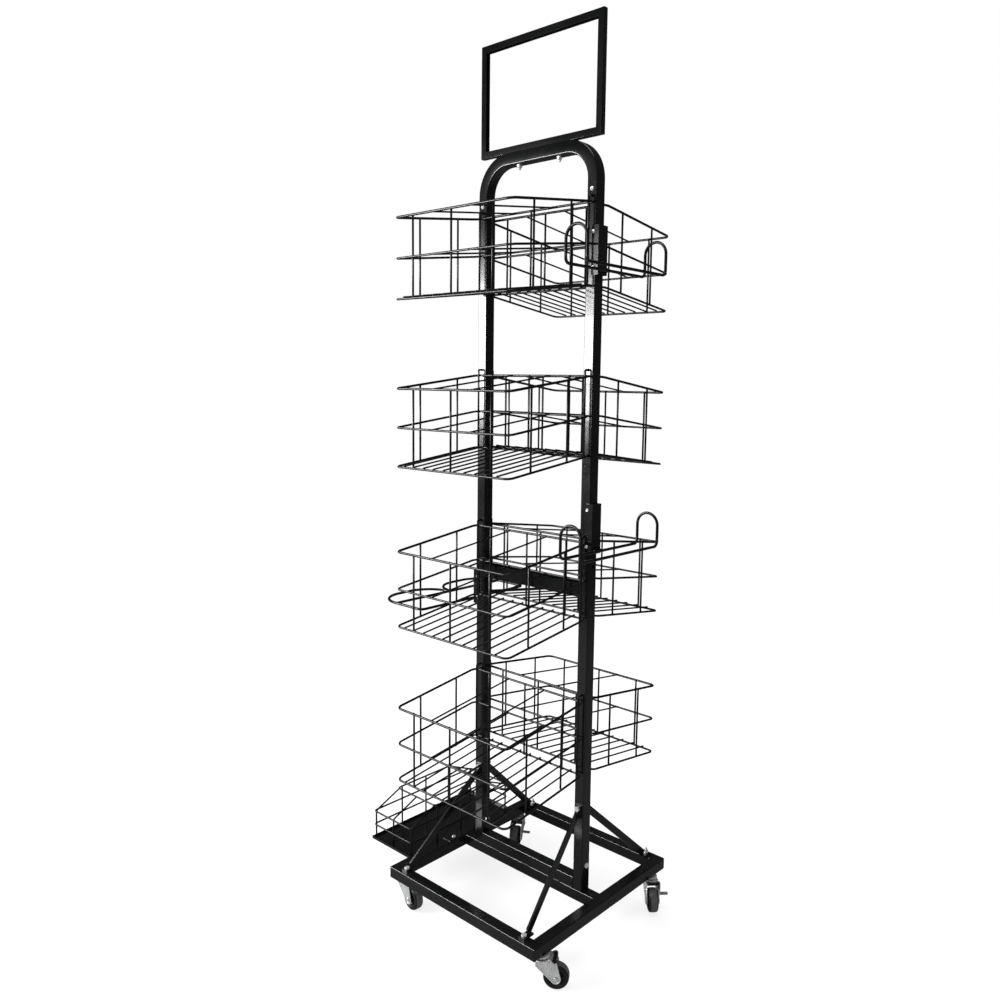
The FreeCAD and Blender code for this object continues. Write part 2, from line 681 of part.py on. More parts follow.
def right_bracket(bottom, top, hook_heights):
    """Channel round the outside of the right post."""
    inner_y = TUBE / 2 + BRACKET_GAP
    outer_y = inner_y + BRACKET_SHEET
    heights = (bottom, top)
    blank = box((BRACKET_BACK_X, BRACKET_WEB_X), (-outer_y, outer_y), heights)
    throat = box((BRACKET_BACK_X, BRACKET_WEB_X - BRACKET_SHEET), (-inner_y, inner_y), heights)
    channel = blank.cut(throat)
    for z in hook_heights:
        start = V(POST_X, -outer_y - 1, z)
        channel = channel.cut(Part.makeCylinder(HOOK_HOLE_DIAMETER, 2 * outer_y + 2, start, Y_AXIS))
    for z in bracket_screw_heights(bottom, top):
        start = V(BRACKET_SCREW_X, -outer_y - 1, z)
        channel = bolt_hole(channel, start, Y_AXIS, 4, 2 * outer_y + 2)
    for y in (-BRACKET_ARM_Y, BRACKET_ARM_Y):
        start = V(BRACKET_WEB_X - 2 * BRACKET_SHEET, y, bottom + BRACKET_BELOW_WIRE)
        channel = bolt_hole(channel, start, X_AXIS, HANGER_WIRE, 3 * BRACKET_SHEET)
    return channel


def bracket_screw_heights(bottom, top):
    return (bottom + 15.0, top - 12.0)


def bracket_screws(side, bottom, top):
    """Screws through both flanges of one bracket into the post."""
    seat_y = TUBE / 2 + BRACKET_GAP + BRACKET_SHEET
    screws = []
    for z in bracket_screw_heights(bottom, top):
        for face in (-1, 1):
            seat = V(side * BRACKET_SCREW_X, face * seat_y, z)
            screws.append(pan_screw(seat, Y_AXIS * -face, 4, 6))
    return screws


def bracket_arms(wire_x, wire_z):
    """Short wires from the carried wire back through the bracket web."""
    side = math.copysign(1, wire_x)
    tail_x = side * (BRACKET_WEB_X - BRACKET_SHEET - BRACKET_ARM_TAIL)
    sides = (-BRACKET_ARM_Y, BRACKET_ARM_Y)
    return [rod(V(tail_x, y, wire_z), V(wire_x, y, wire_z), HANGER_WIRE) for y in sides]


def rail_hanger(rail_z):
    """Two level rails joined by an upright loop at each end."""
    top_z = rail_z + RAIL_LOOP_HEIGHT
    length = RAIL_HALF_LENGTH
    loop_far = path_edges([
        V(RAIL_INNER_X, 0, rail_z),
        V(RAIL_INNER_X, length, rail_z),
        V(RAIL_INNER_X, length, top_z - RAIL_TOP_BEND),
    ], RAIL_FOOT_BEND)
    loop_top = path_edges([
        V(RAIL_INNER_X, length, top_z - RAIL_TOP_BEND),
        V(RAIL_INNER_X, length, top_z),
        V(RAIL_OUTER_X, length, top_z),
        V(RAIL_OUTER_X, length, top_z - RAIL_TOP_BEND),
    ], RAIL_TOP_BEND)
    loop_near = path_edges([
        V(RAIL_OUTER_X, length, top_z - RAIL_TOP_BEND),
        V(RAIL_OUTER_X, length, rail_z),
        V(RAIL_OUTER_X, 0, rail_z),
    ], RAIL_FOOT_BEND)
    half = swept_wire(loop_far + loop_top + loop_near, HANGER_WIRE)
    return fused([half, mirrored(half, Y_AXIS)] + bracket_arms(RAIL_INNER_X, rail_z))


def umbrella_ring():
    """Flat ring: a straight rail at the post and two rounded bays beyond a straight spine."""
    rail = [
        V(RING_NEAR_X, 0, RING_Z),
        V(RING_NEAR_X, -RING_HALF_LENGTH, RING_Z),
        V(RING_SPINE_X, -RING_HALF_LENGTH, RING_Z),
    ]
    near_edges = path_edges(rail, RING_CORNER)
    bay_edges = path_edges([
        rail[-1],
        V(RING_OUTER_X, -RING_HALF_LENGTH, RING_Z),
        V(RING_OUTER_X, -RING_WAIST_Y, RING_Z),
        V(RING_SPINE_X, -RING_WAIST_Y, RING_Z),
    ], RING_BAY_BEND)
    half = swept_wire(near_edges + bay_edges, HANGER_WIRE)
    reach = RING_HALF_LENGTH
    spine = rod(V(RING_SPINE_X, -reach, RING_Z), V(RING_SPINE_X, reach, RING_Z), HANGER_WIRE)
    pieces = [half, mirrored(half, Y_AXIS), spine] + bracket_arms(RING_NEAR_X, RING_Z)
    return pieces[0].multiFuse(pieces[1:])


# -------------------------------------------------------------- tray and guard

def drip_tray():
    """Shallow pan hooked over the left rail."""
    outer = (TRAY_OUTER_X, TRAY_INNER_X)
    length = (-TRAY_HALF_LENGTH, TRAY_HALF_LENGTH)
    sheet = TRAY_SHEET
    pan = box(outer, length, (TRAY_FLOOR_Z, TRAY_FLOOR_Z + TRAY_LIP))
    hollow = box((TRAY_OUTER_X + sheet, TRAY_INNER_X - sheet),
                 (sheet - TRAY_HALF_LENGTH, TRAY_HALF_LENGTH - sheet),
                 (TRAY_FLOOR_Z + sheet, TRAY_FLOOR_Z + TRAY_LIP))
    hook_length = (-TRAY_HOOK_HALF_LENGTH, TRAY_HOOK_HALF_LENGTH)
    hook_top = BASE_TOP + sheet
    riser = box((TRAY_INNER_X - sheet, TRAY_INNER_X), hook_length, (TRAY_FLOOR_Z, hook_top))
    flange = box((TRAY_INNER_X - sheet, TRAY_HOOK_X), hook_length, (BASE_TOP, hook_top))
    tray = fused([pan.cut(hollow), riser, flange])
    for y in (-TRAY_SCREW_Y, TRAY_SCREW_Y):
        tray = bolt_hole(tray, V(TRAY_SCREW_X, y, BASE_TOP - 1), Z_AXIS, 5, 3)
    return tray


def tray_screws():
    seat_z = BASE_TOP + TRAY_SHEET
    heads = (-TRAY_SCREW_Y, TRAY_SCREW_Y)
    return group([pan_screw(V(TRAY_SCREW_X, y, seat_z), Z_AXIS * -1, 5, 8) for y in heads])


def guard_ring(z, half_length):
    """Level rounded rectangle of guard wire."""
    middle_x = (GUARD_OUTER_X + GUARD_INNER_X) / 2
    corners = [
        V(middle_x, -half_length, z),
        V(GUARD_INNER_X, -half_length, z),
        V(GUARD_INNER_X, half_length, z),
        V(GUARD_OUTER_X, half_length, z),
        V(GUARD_OUTER_X, -half_length, z),
        V(middle_x, -half_length, z),
    ]
    return bent_wire(corners, GUARD_WIRE, GUARD_CORNER)


def tray_guard():
    """Wire fence standing in the tray, with sloping end wires up to a short top ring."""
    wires = [guard_ring(z, GUARD_HALF_LENGTH) for z in GUARD_RING_Z]
    wires.append(guard_ring(GUARD_TOP_Z, GUARD_TOP_HALF_LENGTH))
    inset = GUARD_WIRE - WELD_SINK
    foot_z = TRAY_FLOOR_Z + TRAY_SHEET
    middle_x = (GUARD_OUTER_X + GUARD_INNER_X) / 2
    side_x = (GUARD_OUTER_X + inset, GUARD_INNER_X - inset)
    bend = 2 * GUARD_WIRE
    for x in side_x:
        for end in (-1, 1):
            for y in GUARD_UPRIGHT_Y:
                wires.append(rod(V(x, end * y, foot_z), V(x, end * y, GUARD_TOP_Z), GUARD_WIRE))
    for x in side_x + (middle_x,):
        for end in (-1, 1):
            low_y = end * (GUARD_HALF_LENGTH - inset)
            high_y = end * (GUARD_TOP_HALF_LENGTH - inset)
            bent = [V(x, low_y, foot_z), V(x, low_y, GUARD_RING_Z[1]), V(x, high_y, GUARD_TOP_Z)]
            wires.append(bent_wire(bent, GUARD_WIRE, bend))
    return wires[0].multiFuse(wires[1:])


# --------------------------------------------------------------------- casters

def caster_stem():
    """Threaded stem, hex flange, upper race and riveted kingpin, turned as one piece."""
    stem = Part.makeCylinder(STEM_DIAMETER / 2, STEM_TOP - CASTER_HEIGHT, V(0, 0, CASTER_HEIGHT))
    flange = moved(hexagon(STEM_HEX, CASTER_HEIGHT - RACE_TOP), V(0, 0, RACE_TOP))
    race = Part.makeCylinder(RACE_DIAMETER / 2, RACE_TOP - RACE_BOTTOM, V(0, 0, RACE_BOTTOM))
    kingpin = Part.makeCylinder(KINGPIN_DIAMETER / 2, RACE_BOTTOM - KINGPIN_BOTTOM, V(0, 0, KINGPIN_BOTTOM))
    head_height = FORK_PLATE_BOTTOM - RUNNING_GAP - KINGPIN_BOTTOM
    head = Part.makeCylinder(KINGPIN_HEAD_DIAMETER / 2, head_height, V(0, 0, KINGPIN_BOTTOM))
    return fused([stem, flange, race, kingpin, head])


def caster_balls():
    """Balls running between the upper race and the fork plate."""
    middle_z = (RACE_BOTTOM + FORK_PLATE_TOP) / 2
    balls = []
    for i in range(BALLS):
        turn = 2 * math.pi * i / BALLS
        centre = V(BALL_CIRCLE_RADIUS * math.cos(turn), BALL_CIRCLE_RADIUS * math.sin(turn), middle_z)
        balls.append(Part.makeSphere(BALL_DIAMETER / 2, centre))
    return balls


def tangent_point(x, z, side):
    """Point where a line from (x, z) touches the round eye at the axle."""
    dx = TRAIL - x
    dz = AXLE_Z - z
    reach = math.hypot(dx, dz)
    to_eye = math.atan2(dz, dx)
    spread = math.asin(AXLE_EYE_RADIUS / reach)
    length = math.sqrt(reach ** 2 - AXLE_EYE_RADIUS ** 2)
    angle = to_eye + side * spread
    return (x + length * math.cos(angle), z + length * math.sin(angle))


def plate_across(outline, low_y, high_y):
    """Flat plate standing across the axle, from its (x, z) outline."""
    points = [V(x, low_y, z) for x, z in outline]
    return Part.Face(Part.makePolygon(points + [points[0]])).extrude(V(0, high_y - low_y, 0))


def along_axle(place, diameter, low_y, high_y):
    """Round bar parallel to the axle at an (x, z) place."""
    x, z = place
    return rod(V(x, low_y, z), V(x, high_y, z), diameter)


def fork_leg(low_y, high_y):
    """Side plate of the fork between two Y positions."""
    outline = [
        (LEG_REAR[0], FORK_PLATE_TOP),
        LEG_REAR,
        tangent_point(*LEG_REAR, -1),
        tangent_point(*LEG_TIP, 1),
        LEG_TIP,
        LEG_NOTCH,
        *LEG_CREST,
    ]
    eye = along_axle((TRAIL, AXLE_Z), 2 * AXLE_EYE_RADIUS, low_y, high_y)
    return plate_across(outline, low_y, high_y).fuse(eye)


def brake_bar_place(turn):
    """Place of the brake bar when the lever has turned down by some degrees."""
    dx = BRAKE_BAR[0] - BRAKE_PIN[0]
    dz = BRAKE_BAR[1] - BRAKE_PIN[1]
    angle = math.radians(turn)
    x = BRAKE_PIN[0] + dx * math.cos(angle) + dz * math.sin(angle)
    z = BRAKE_PIN[1] - dx * math.sin(angle) + dz * math.cos(angle)
    return (x, z)


def brake_slot():
    """Room the brake bar sweeps through in the leg on the lever's side."""
    low_x, low_z = brake_bar_place(BRAKE_TURN)
    high_x, high_z = BRAKE_BAR
    half = BRAKE_SLOT_WIDTH / 2
    open_top = high_z + 2 * half
    limits = (LEG_INNER_Y - LEG_SHEET, LEG_OUTER_Y + LEG_SHEET)
    outline = [(low_x - half, low_z), (low_x + half, low_z),
               (high_x + 2 * half, open_top), (high_x - half, open_top)]
    slot = plate_across(outline, *limits)
    return slot.fuse(along_axle((low_x, low_z), BRAKE_SLOT_WIDTH, *limits))


def caster_fork():
    """Pressed fork: top plate and two legs, bored for kingpin, axle and brake rivet."""
    plate_height = FORK_PLATE_TOP - FORK_PLATE_BOTTOM
    plate = Part.makeCylinder(FORK_PLATE_DIAMETER / 2, plate_height, V(0, 0, FORK_PLATE_BOTTOM))
    bridge = box((0, FORK_PLATE_END_X), (-LEG_OUTER_Y, LEG_OUTER_Y), (FORK_PLATE_BOTTOM, FORK_PLATE_TOP))
    legs = [fork_leg(-LEG_OUTER_Y, -LEG_INNER_Y), fork_leg(LEG_INNER_Y, LEG_OUTER_Y).cut(brake_slot())]
    fork = fused([plate, bridge] + legs)
    kingpin_bore = Part.makeCylinder(KINGPIN_DIAMETER / 2 + RUNNING_GAP, CASTER_HEIGHT)
    axle_bore = along_axle((TRAIL, AXLE_Z), AXLE_DIAMETER + 2 * RUNNING_GAP, -LEG_OUTER_Y, LEG_OUTER_Y)
    pin_bore = along_axle(BRAKE_PIN, BRAKE_PIN_DIAMETER + 2 * RUNNING_GAP, LEG_INNER_Y, LEG_OUTER_Y)
    for bore in (kingpin_bore, axle_bore, pin_bore):
        fork = fork.cut(bore)
    return fork


def rivet(place, diameter, low_y, high_y):
    """Rivet parallel to the axle, its heads just outside the two Y positions."""
    head_diameter, head_height = RIVET_HEAD
    shank = along_axle(place, diameter, low_y, high_y)
    heads = [along_axle(place, head_diameter, low_y - head_height, low_y),
             along_axle(place, head_diameter, high_y, high_y + head_height)]
    return fused([shank] + heads)


def caster_pins():
    """Axle rivet and brake rivet, which turn with the fork."""
    axle = rivet((TRAIL, AXLE_Z), AXLE_DIAMETER, -LEG_OUTER_Y, LEG_OUTER_Y)
    brake_pin = rivet(BRAKE_PIN, BRAKE_PIN_DIAMETER, LEG_INNER_Y, LEVER_OUTER_Y + RUNNING_GAP)
    return group([axle, brake_pin])


def wheel_disc(diameter, width):
    return along_axle((TRAIL, AXLE_Z), diameter, -width / 2, width / 2)


def caster_hub():
    """Hub with a dished face on both sides and a running bore."""
    hub = wheel_disc(HUB_DIAMETER, HUB_FACE_WIDTH)
    for side in (-1, 1):
        limits = sorted((side * HUB_FACE_WIDTH / 2, side * (HUB_FACE_WIDTH / 2 - HUB_DISH)))
        hub = hub.cut(along_axle((TRAIL, AXLE_Z), HUB_DIAMETER - 2 * HUB_RIM, *limits))
    boss = wheel_disc(HUB_BOSS_DIAMETER, HUB_WIDTH)
    bore = wheel_disc(AXLE_DIAMETER + 2 * RUNNING_GAP, HUB_WIDTH)
    return hub.fuse(boss).cut(bore)


def caster_tyre():
    tyre = wheel_disc(WHEEL_DIAMETER, WHEEL_WIDTH)
    rims = [edge for edge in tyre.Edges if len(edge.Vertexes) == 1]
    tyre = tyre.makeFillet(TYRE_SHOULDER, rims)
    return tyre.cut(wheel_disc(HUB_DIAMETER, WHEEL_WIDTH))


def caster_pedal():
    """Brake: a bar lying over the tread, a side lever on its rivet and a foot tab."""
    bar_start = BRAKE_CLEARANCE - LEG_INNER_Y
    bar = along_axle(BRAKE_BAR, BRAKE_BAR_DIAMETER, bar_start, LEVER_OUTER_Y)
    corners = (BRAKE_PIN, LEVER_FOOT, BRAKE_BAR)
    eyes = [along_axle(corner, 2 * LEVER_RADIUS, LEVER_INNER_Y, LEVER_OUTER_Y) for corner in corners]
    lever = plate_across(corners, LEVER_INNER_Y, LEVER_OUTER_Y)
    bands = []
    for start, end in zip(corners, corners[1:] + corners[:1]):
        dx, dz = end[0] - start[0], end[1] - start[1]
        reach = math.hypot(dx, dz) / LEVER_RADIUS
        side_x, side_z = dz / reach, -dx / reach
        outline = [(start[0] + side_x, start[1] + side_z), (end[0] + side_x, end[1] + side_z), end, start]
        bands.append(plate_across(outline, LEVER_INNER_Y, LEVER_OUTER_Y))
    tab_x = (LEVER_FOOT[0] - TAB_HALF_LENGTH, LEVER_FOOT[0] + TAB_HALF_LENGTH)
    tab_top = LEVER_FOOT[1] - LEVER_RADIUS + TAB_SHEET
    tab = box(tab_x, (LEVER_INNER_Y, TAB_OUTER_Y), (tab_top - TAB_SHEET, tab_top))
    pedal = fused([bar, lever, tab] + eyes + bands)
    bore_diameter = BRAKE_PIN_DIAMETER + 2 * RUNNING_GAP
    return pedal.cut(along_axle(BRAKE_PIN, bore_diameter, LEVER_INNER_Y, LEVER_OUTER_Y))


def placed_caster(shape, side_x, side_y, trail_angle):
    """Caster piece turned to its trail angle and moved under a base corner."""
    copy = shape.copy()
    copy.rotate(V(0, 0, 0), Z_AXIS, trail_angle)
    copy.translate(V(side_x * CASTER_X, side_y * CASTER_Y, 0))
    return copy


# ---------------------------------------------------------------- all the nodes

def all_nodes():
    """Every piece of the rack by node name."""
    right_brackets = {
        "upper": (UPPER_RAIL_Z - BRACKET_BELOW_WIRE, UPPER_BRACKET_TOP),
        "lower": (LOWER_RAIL_Z - BRACKET_BELOW_WIRE, LOWER_BRACKET_TOP),
    }
    ring_bracket = (RING_Z - BRACKET_BELOW_WIRE, RING_BRACKET_TOP)
    right_screws = [z for limits in right_brackets.values() for z in bracket_screw_heights(*limits)]
    hook_heights = [rim_z + HOOK_RISE for rim_z in rim_heights()]
    brace = right_front_brace()
    nodes = {
        "base_frame": base_frame(),
        "post_left": post(-1, bracket_screw_heights(*ring_bracket)),
        "post_right": accessory_hole(post(1, right_screws)),
        "post_bolts": post_bolts(),
        "post_nuts": post_nuts(),
        "arch_tube": arch_tube(),
        "arch_screws": arch_screws(),
        "sign_frame": sign_frame(),
        "sign_bolts": sign_bolts(),
        "sign_nuts": sign_nuts(),
        "crossbar": crossbar(),
        "crossbar_screws": crossbar_screws(),
        "brace_front_right": brace,
        "brace_front_left": mirrored(brace, X_AXIS),
        "brace_back_left": half_turn(brace),
        "brace_back_right": mirrored(brace, Y_AXIS),
        "brace_bolts": brace_bolts(),
        "brace_nuts": brace_nuts(),
        "umbrella_ring": umbrella_ring(),
        "umbrella_bracket": half_turn(right_bracket(*ring_bracket, hook_heights)),
        "rail_hanger_upper": rail_hanger(UPPER_RAIL_Z),
        "rail_hanger_lower": rail_hanger(LOWER_RAIL_Z),
        "drip_tray": drip_tray(),
        "tray_screws": tray_screws(),
        "tray_guard": tray_guard(),
    }
    screws = bracket_screws(-1, *ring_bracket)
    for name, limits in right_brackets.items():
        nodes["rail_bracket_" + name] = right_bracket(*limits, hook_heights)
        screws += bracket_screws(1, *limits)
    nodes["bracket_screws"] = group(screws)

    basket = front_basket()
    for number, rim_z in enumerate(rim_heights(), start=1):
        nodes["basket_front_%d" % number] = moved(basket, V(0, 0, rim_z))
        nodes["basket_back_%d" % number] = moved(half_turn(basket), V(0, 0, rim_z))

    stems = []
    balls = []
    pieces = {
        "fork": caster_fork(),
        "pins": caster_pins(),
        "hub": caster_hub(),
        "tyre": caster_tyre(),
        "pedal": caster_pedal(),
    }
    for corner, placing in CASTERS.items():
        stems.append(placed_caster(caster_stem(), *placing))
        balls += [placed_caster(ball, *placing) for ball in caster_balls()]
        for piece, shape in pieces.items():
            nodes["caster_%s_%s" % (corner, piece)] = placed_caster(shape, *placing)
    nodes["caster_stems"] = group(stems)
    nodes["caster_balls"] = group(balls)
    return nodes


os.makedirs("parts", exist_ok=True)
for node_name, node_shape in all_nodes().items():
    node_shape.exportStep("parts/%s.step" % node_name)
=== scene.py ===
import collections
import json
import math

import bmesh
import bpy
from mathutils import Matrix, Vector


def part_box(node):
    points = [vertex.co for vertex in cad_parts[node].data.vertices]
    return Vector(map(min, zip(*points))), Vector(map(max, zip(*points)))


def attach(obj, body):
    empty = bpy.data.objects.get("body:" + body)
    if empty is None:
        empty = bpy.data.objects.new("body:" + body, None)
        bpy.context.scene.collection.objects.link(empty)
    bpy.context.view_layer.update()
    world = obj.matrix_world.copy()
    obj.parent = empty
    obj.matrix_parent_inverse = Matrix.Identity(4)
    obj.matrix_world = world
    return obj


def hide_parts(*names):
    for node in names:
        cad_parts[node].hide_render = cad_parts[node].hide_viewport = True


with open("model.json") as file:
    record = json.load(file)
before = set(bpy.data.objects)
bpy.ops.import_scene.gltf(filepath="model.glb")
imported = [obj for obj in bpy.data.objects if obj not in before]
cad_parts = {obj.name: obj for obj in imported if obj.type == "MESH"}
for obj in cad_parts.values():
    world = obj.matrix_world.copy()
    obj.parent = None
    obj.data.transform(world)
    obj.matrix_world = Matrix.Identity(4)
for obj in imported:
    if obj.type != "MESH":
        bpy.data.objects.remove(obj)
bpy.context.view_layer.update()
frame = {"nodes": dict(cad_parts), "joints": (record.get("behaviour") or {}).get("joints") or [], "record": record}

# Looks of the wire basket display rack. Everything is in metres in the row frame:
# +X towards the hanger rails, -Y towards the front baskets, +Z up from the floor.
# Places come from the frame's boxes; wire sizes and small details are named here.

MM = 0.001

# Wire sizes
RIM_WIRE = 5.0 * MM
RING_WIRE = 4.5 * MM
UPRIGHT_WIRE = 4.2 * MM
FLOOR_WIRE = 3.5 * MM
HANGER_WIRE = 6.0 * MM
GUARD_WIRE = 4.0 * MM
WELD_SINK = 0.6 * MM
WIRE_SIDES = 12
NUGGET_SIZE = 1.22  # weld nugget radius as a share of the wire's
ROUND_DEGREES = 50  # edges flatter than this are drawn round on wire and castings

# Basket shape, from the rim at the posts
BASKET_HALF_WIDTH = 158.0 * MM
BASKET_INNER_Y = 17.7 * MM
BASKET_OUTER_Y = 244.0 * MM
BASKET_CORNER = 13.0 * MM
RIM_DROP = 31.0 * MM
RING_DEPTHS = (0.0, 78.0 * MM, 156.5 * MM)
WALL_UPRIGHT_X = (-108.0 * MM, 0.0, 108.0 * MM)
SIDE_UPRIGHT_Y = (80.0 * MM, 183.0 * MM)
DIVIDER_X = 52.0 * MM
FLOOR_WIRE_X = (14.4 * MM, 43.0 * MM, 72.0 * MM, 100.5 * MM, 129.0 * MM)
FLOOR_WIRE_END = 2.6 * MM
HOOK_RISE = 12.0 * MM
HOOK_DEPTH_Y = 7.0 * MM
HOOK_TIP = 7.0 * MM
HOOK_BEND = 3.2 * MM
POST_X = 148.5 * MM

# Square tube, arch, sign frame and brackets
TUBE = 25.0 * MM
TUBE_CORNER = 2.5 * MM
TUBE_CHAMFER = 0.4 * MM
SLEEVE = 21.6 * MM
ARCH_BEND = 67.5 * MM
JOINT_GAP = 0.25 * MM  # seam left where the arch meets a post
SIGN_FACE = 14.0 * MM
SIGN_SHEET = 1.2 * MM
SIGN_BOLT_X = 54.0 * MM
BRACE_THICKNESS = 4.0 * MM
BRACE_FOOT_X = 174.0 * MM
BRACE_FOOT_Y = 205.0 * MM
BAR_SCREW_RISE = (13.0 * MM, 36.0 * MM)
BAR_SHEET = 2.0 * MM  # thickness of the crossbar's end tabs
BRACKET_SCREW_X = 155.5 * MM
BRACKET_SCREW_INSET = (15.0 * MM, 12.0 * MM)  # from the bracket's bottom and top
TRAY_SCREW_X = -203.0 * MM
TRAY_SCREW_Y = 40.0 * MM
STITCH_X = (-90.0 * MM, 0.0, 90.0 * MM)  # short welds along the centre member
STITCH_HALF_LENGTH = 12.0 * MM
BEAD_RADIUS = 2.2 * MM
STITCH_RADIUS = 1.5 * MM
BEAD_RIPPLE = 0.7 * MM
BEAD_SIDES = 10

# M6 and smaller fasteners
M6_RADIUS = 3.0 * MM
M6_ACROSS_FLATS = 10.0 * MM
M6_HEAD = 4.0 * MM
M6_NUT = 5.0 * MM
SHORT_TAIL = 2.0 * MM
SIGN_TAIL = 5.0 * MM
FOOT_TAIL = 6.0 * MM
PAN_SIZE = 5.0 * MM
SMALL_PAN_SIZE = 4.0 * MM

# Rail hangers and umbrella ring
RAIL_INNER_X = 180.0 * MM
RAIL_OUTER_X = 230.0 * MM
RAIL_HALF_LENGTH = 125.0 * MM
RAIL_LOOP_HEIGHT = 67.0 * MM
RAIL_TOP_BEND = 24.9 * MM
RAIL_FOOT_BEND = 10.0 * MM
ARM_TAIL_X = 163.0 * MM
ARM_Y = 8.0 * MM
RING_NEAR_X = -178.0 * MM
RING_SPINE_X = -262.0 * MM
RING_OUTER_X = -328.0 * MM
RING_HALF_LENGTH = 160.0 * MM
RING_CORNER = 12.0 * MM
RING_BAY_BEND = 62.0 * MM
RING_WAIST_Y = 3.2 * MM

# Tray guard
GUARD_OUTER_X = -352.0 * MM
GUARD_INNER_X = -218.5 * MM
GUARD_HALF_LENGTH = 156.0 * MM
GUARD_TOP_HALF_LENGTH = 85.0 * MM
GUARD_RING_RISE = (33.8 * MM, 66.8 * MM)
GUARD_CORNER = 8.0 * MM
GUARD_UPRIGHT_Y = (-75.0 * MM, 0.0, 75.0 * MM)
NUGGET_ON_GUARD = GUARD_WIRE * 0.85

# Casters, in a local frame: trail along +X, swivel axis through the origin
TRAIL = 28.0 * MM
FIT_GAP = 0.05 * MM
AXLE_Z = 25.5 * MM
WHEEL_RADIUS = 25.5 * MM
WHEEL_WIDTH = 20.0 * MM
HUB_RADIUS = 17.0 * MM
HUB_SPOKES = 6
LEG_INNER_Y = 12.5 * MM
LEG_OUTER_Y = 15.0 * MM
LEG_REAR = (-12.0 * MM, 49.5 * MM)
LEG_TIP = (29.5 * MM, 58.5 * MM)
LEG_NOTCH = (25.0 * MM, 56.5 * MM)
LEG_CREST = ((17.0 * MM, 64.0 * MM), (13.0 * MM, 65.0 * MM), (11.0 * MM, 60.5 * MM))
# Pressed leg from its inner face out: mm below the outer face, mm in from the outline
LEG_PROFILE = ((2.5, 0.3), (2.2, 0), (0.9, 0), (0.25, 0.25), (0, 0.8), (0, 1.9), (0.7, 2.4), (0.9, 3.2))
EYE_RADIUS = 10.0 * MM
FORK_PLATE_TOP = 60.5 * MM
FORK_PLATE_BOTTOM = 57.0 * MM
FORK_PLATE_RADIUS = 16.0 * MM
FORK_PLATE_END_X = 16.0 * MM
BRIDGE_START_X = 5.0 * MM
RACE_RADIUS = 15.0 * MM
RACE_TOP = 68.0 * MM
RACE_BOTTOM = 64.5 * MM
KINGPIN_BOTTOM = 53.5 * MM
BRAKE_PIN = (6.0 * MM, 50.5 * MM)
BRAKE_BAR = (25.0 * MM, 60.5 * MM)
BRAKE_BAR_RADIUS = 3.5 * MM
BRAKE_SLOT = (27.0 * MM, 54.9 * MM)
BRAKE_SLOT_RADIUS = 5.4 * MM
BRAKE_SLOT_LEAN = 0.7 * MM
LEVER_FOOT = (24.5 * MM, 41.0 * MM)
LEVER_RADIUS = 4.5 * MM
LEVER_INNER_Y = 15.3 * MM
LEVER_OUTER_Y = 17.3 * MM
TAB_OUTER_Y = 35.0 * MM
TAB_HALF_WIDTH = 5.0 * MM
TAB_SHEET = 2.0 * MM
BAR_FREE_END_Y = -12.2 * MM
AXLE_RIVET_RADIUS = 3.0 * MM
BRAKE_RIVET_RADIUS = 2.5 * MM
RIVET_HEAD_RADIUS = 4.5 * MM
STEM_RADIUS = 5.0 * MM
STEM_RISE = 18.0 * MM  # into the base rail
STEM_ACROSS_FLATS = 17.0 * MM
KINGPIN_RADIUS = 4.0 * MM
KINGPIN_HEAD_RADIUS = 7.0 * MM
CASTER_CORNERS = ("front_left", "front_right", "back_left", "back_right")

FLOOR_FADE = (1.8, 3.4)  # the floor melts into the backdrop between these radii
FLOOR_MIRRORED = 0.15  # how pale the floor looks in glossy paint
FLOOR_SHADOWED = 0.26  # the part of the floor's brightness its shadows can take away
FLOOR_LIFT = 0.76  # the part that shines evenly at the camera


# ---- mesh building

def arc_points(centre, radius, start_degrees, end_degrees, steps):
    """Points of an arc in the plane, both ends included."""
    points = []
    for k in range(steps + 1):
        turn = math.radians(start_degrees + (end_degrees - start_degrees) * k / steps)
        points.append((centre[0] + radius * math.cos(turn), centre[1] + radius * math.sin(turn)))
    return points


def mirrored(profile):
    """The (radius, height) points mirrored in height, in reverse order."""
    return [(radius, -height) for radius, height in reversed(profile)]


def rectangle(low_x, high_x, low_y, high_y):
    """Corners of a rectangle, counter-clockwise."""
    return [(low_x, low_y), (high_x, low_y), (high_x, high_y), (low_x, high_y)]


def rounded_path(points, bend, closed=False, steps=7):
    """The points with every corner turned into an arc of one bend radius."""
    points = [Vector(p) for p in points]
    count = len(points)
    path = []
    for i, corner in enumerate(points):
        if not closed and i in (0, count - 1):
            path.append(corner)
            continue
        back = (points[i - 1] - corner).normalized()
        ahead = (points[(i + 1) % count] - corner).normalized()
        half_angle = back.angle(ahead) / 2
        setback = bend / math.tan(half_angle)
        centre = corner + (back + ahead).normalized() * (bend / math.sin(half_angle))
        start = corner + back * setback - centre
        normal = back.cross(ahead).normalized()
        sweep_angle = math.pi - 2 * half_angle
        for k in range(steps + 1):
            turn = Matrix.Rotation(-sweep_angle * k / steps, 3, normal)
            path.append(centre + turn @ start)
    return path


def path_frames(path, closed):
    """Two crosswise directions at every point, without twist."""
    count = len(path)
    tangents = []
    for i in range(count):
        before = path[i - 1] if closed or i else path[i]
        after = path[(i + 1) % count] if closed or i < count - 1 else path[i]
        tangents.append((after - before).normalized())
    guide = Vector((0, 0, 1)) if abs(tangents[0].z) < 0.9 else Vector((1, 0, 0))
    across = tangents[0].cross(guide).normalized()
    frames = []
    for tangent in tangents:
        across = (across - tangent * across.dot(tangent)).normalized()
        frames.append((across, tangent.cross(across)))
    return frames


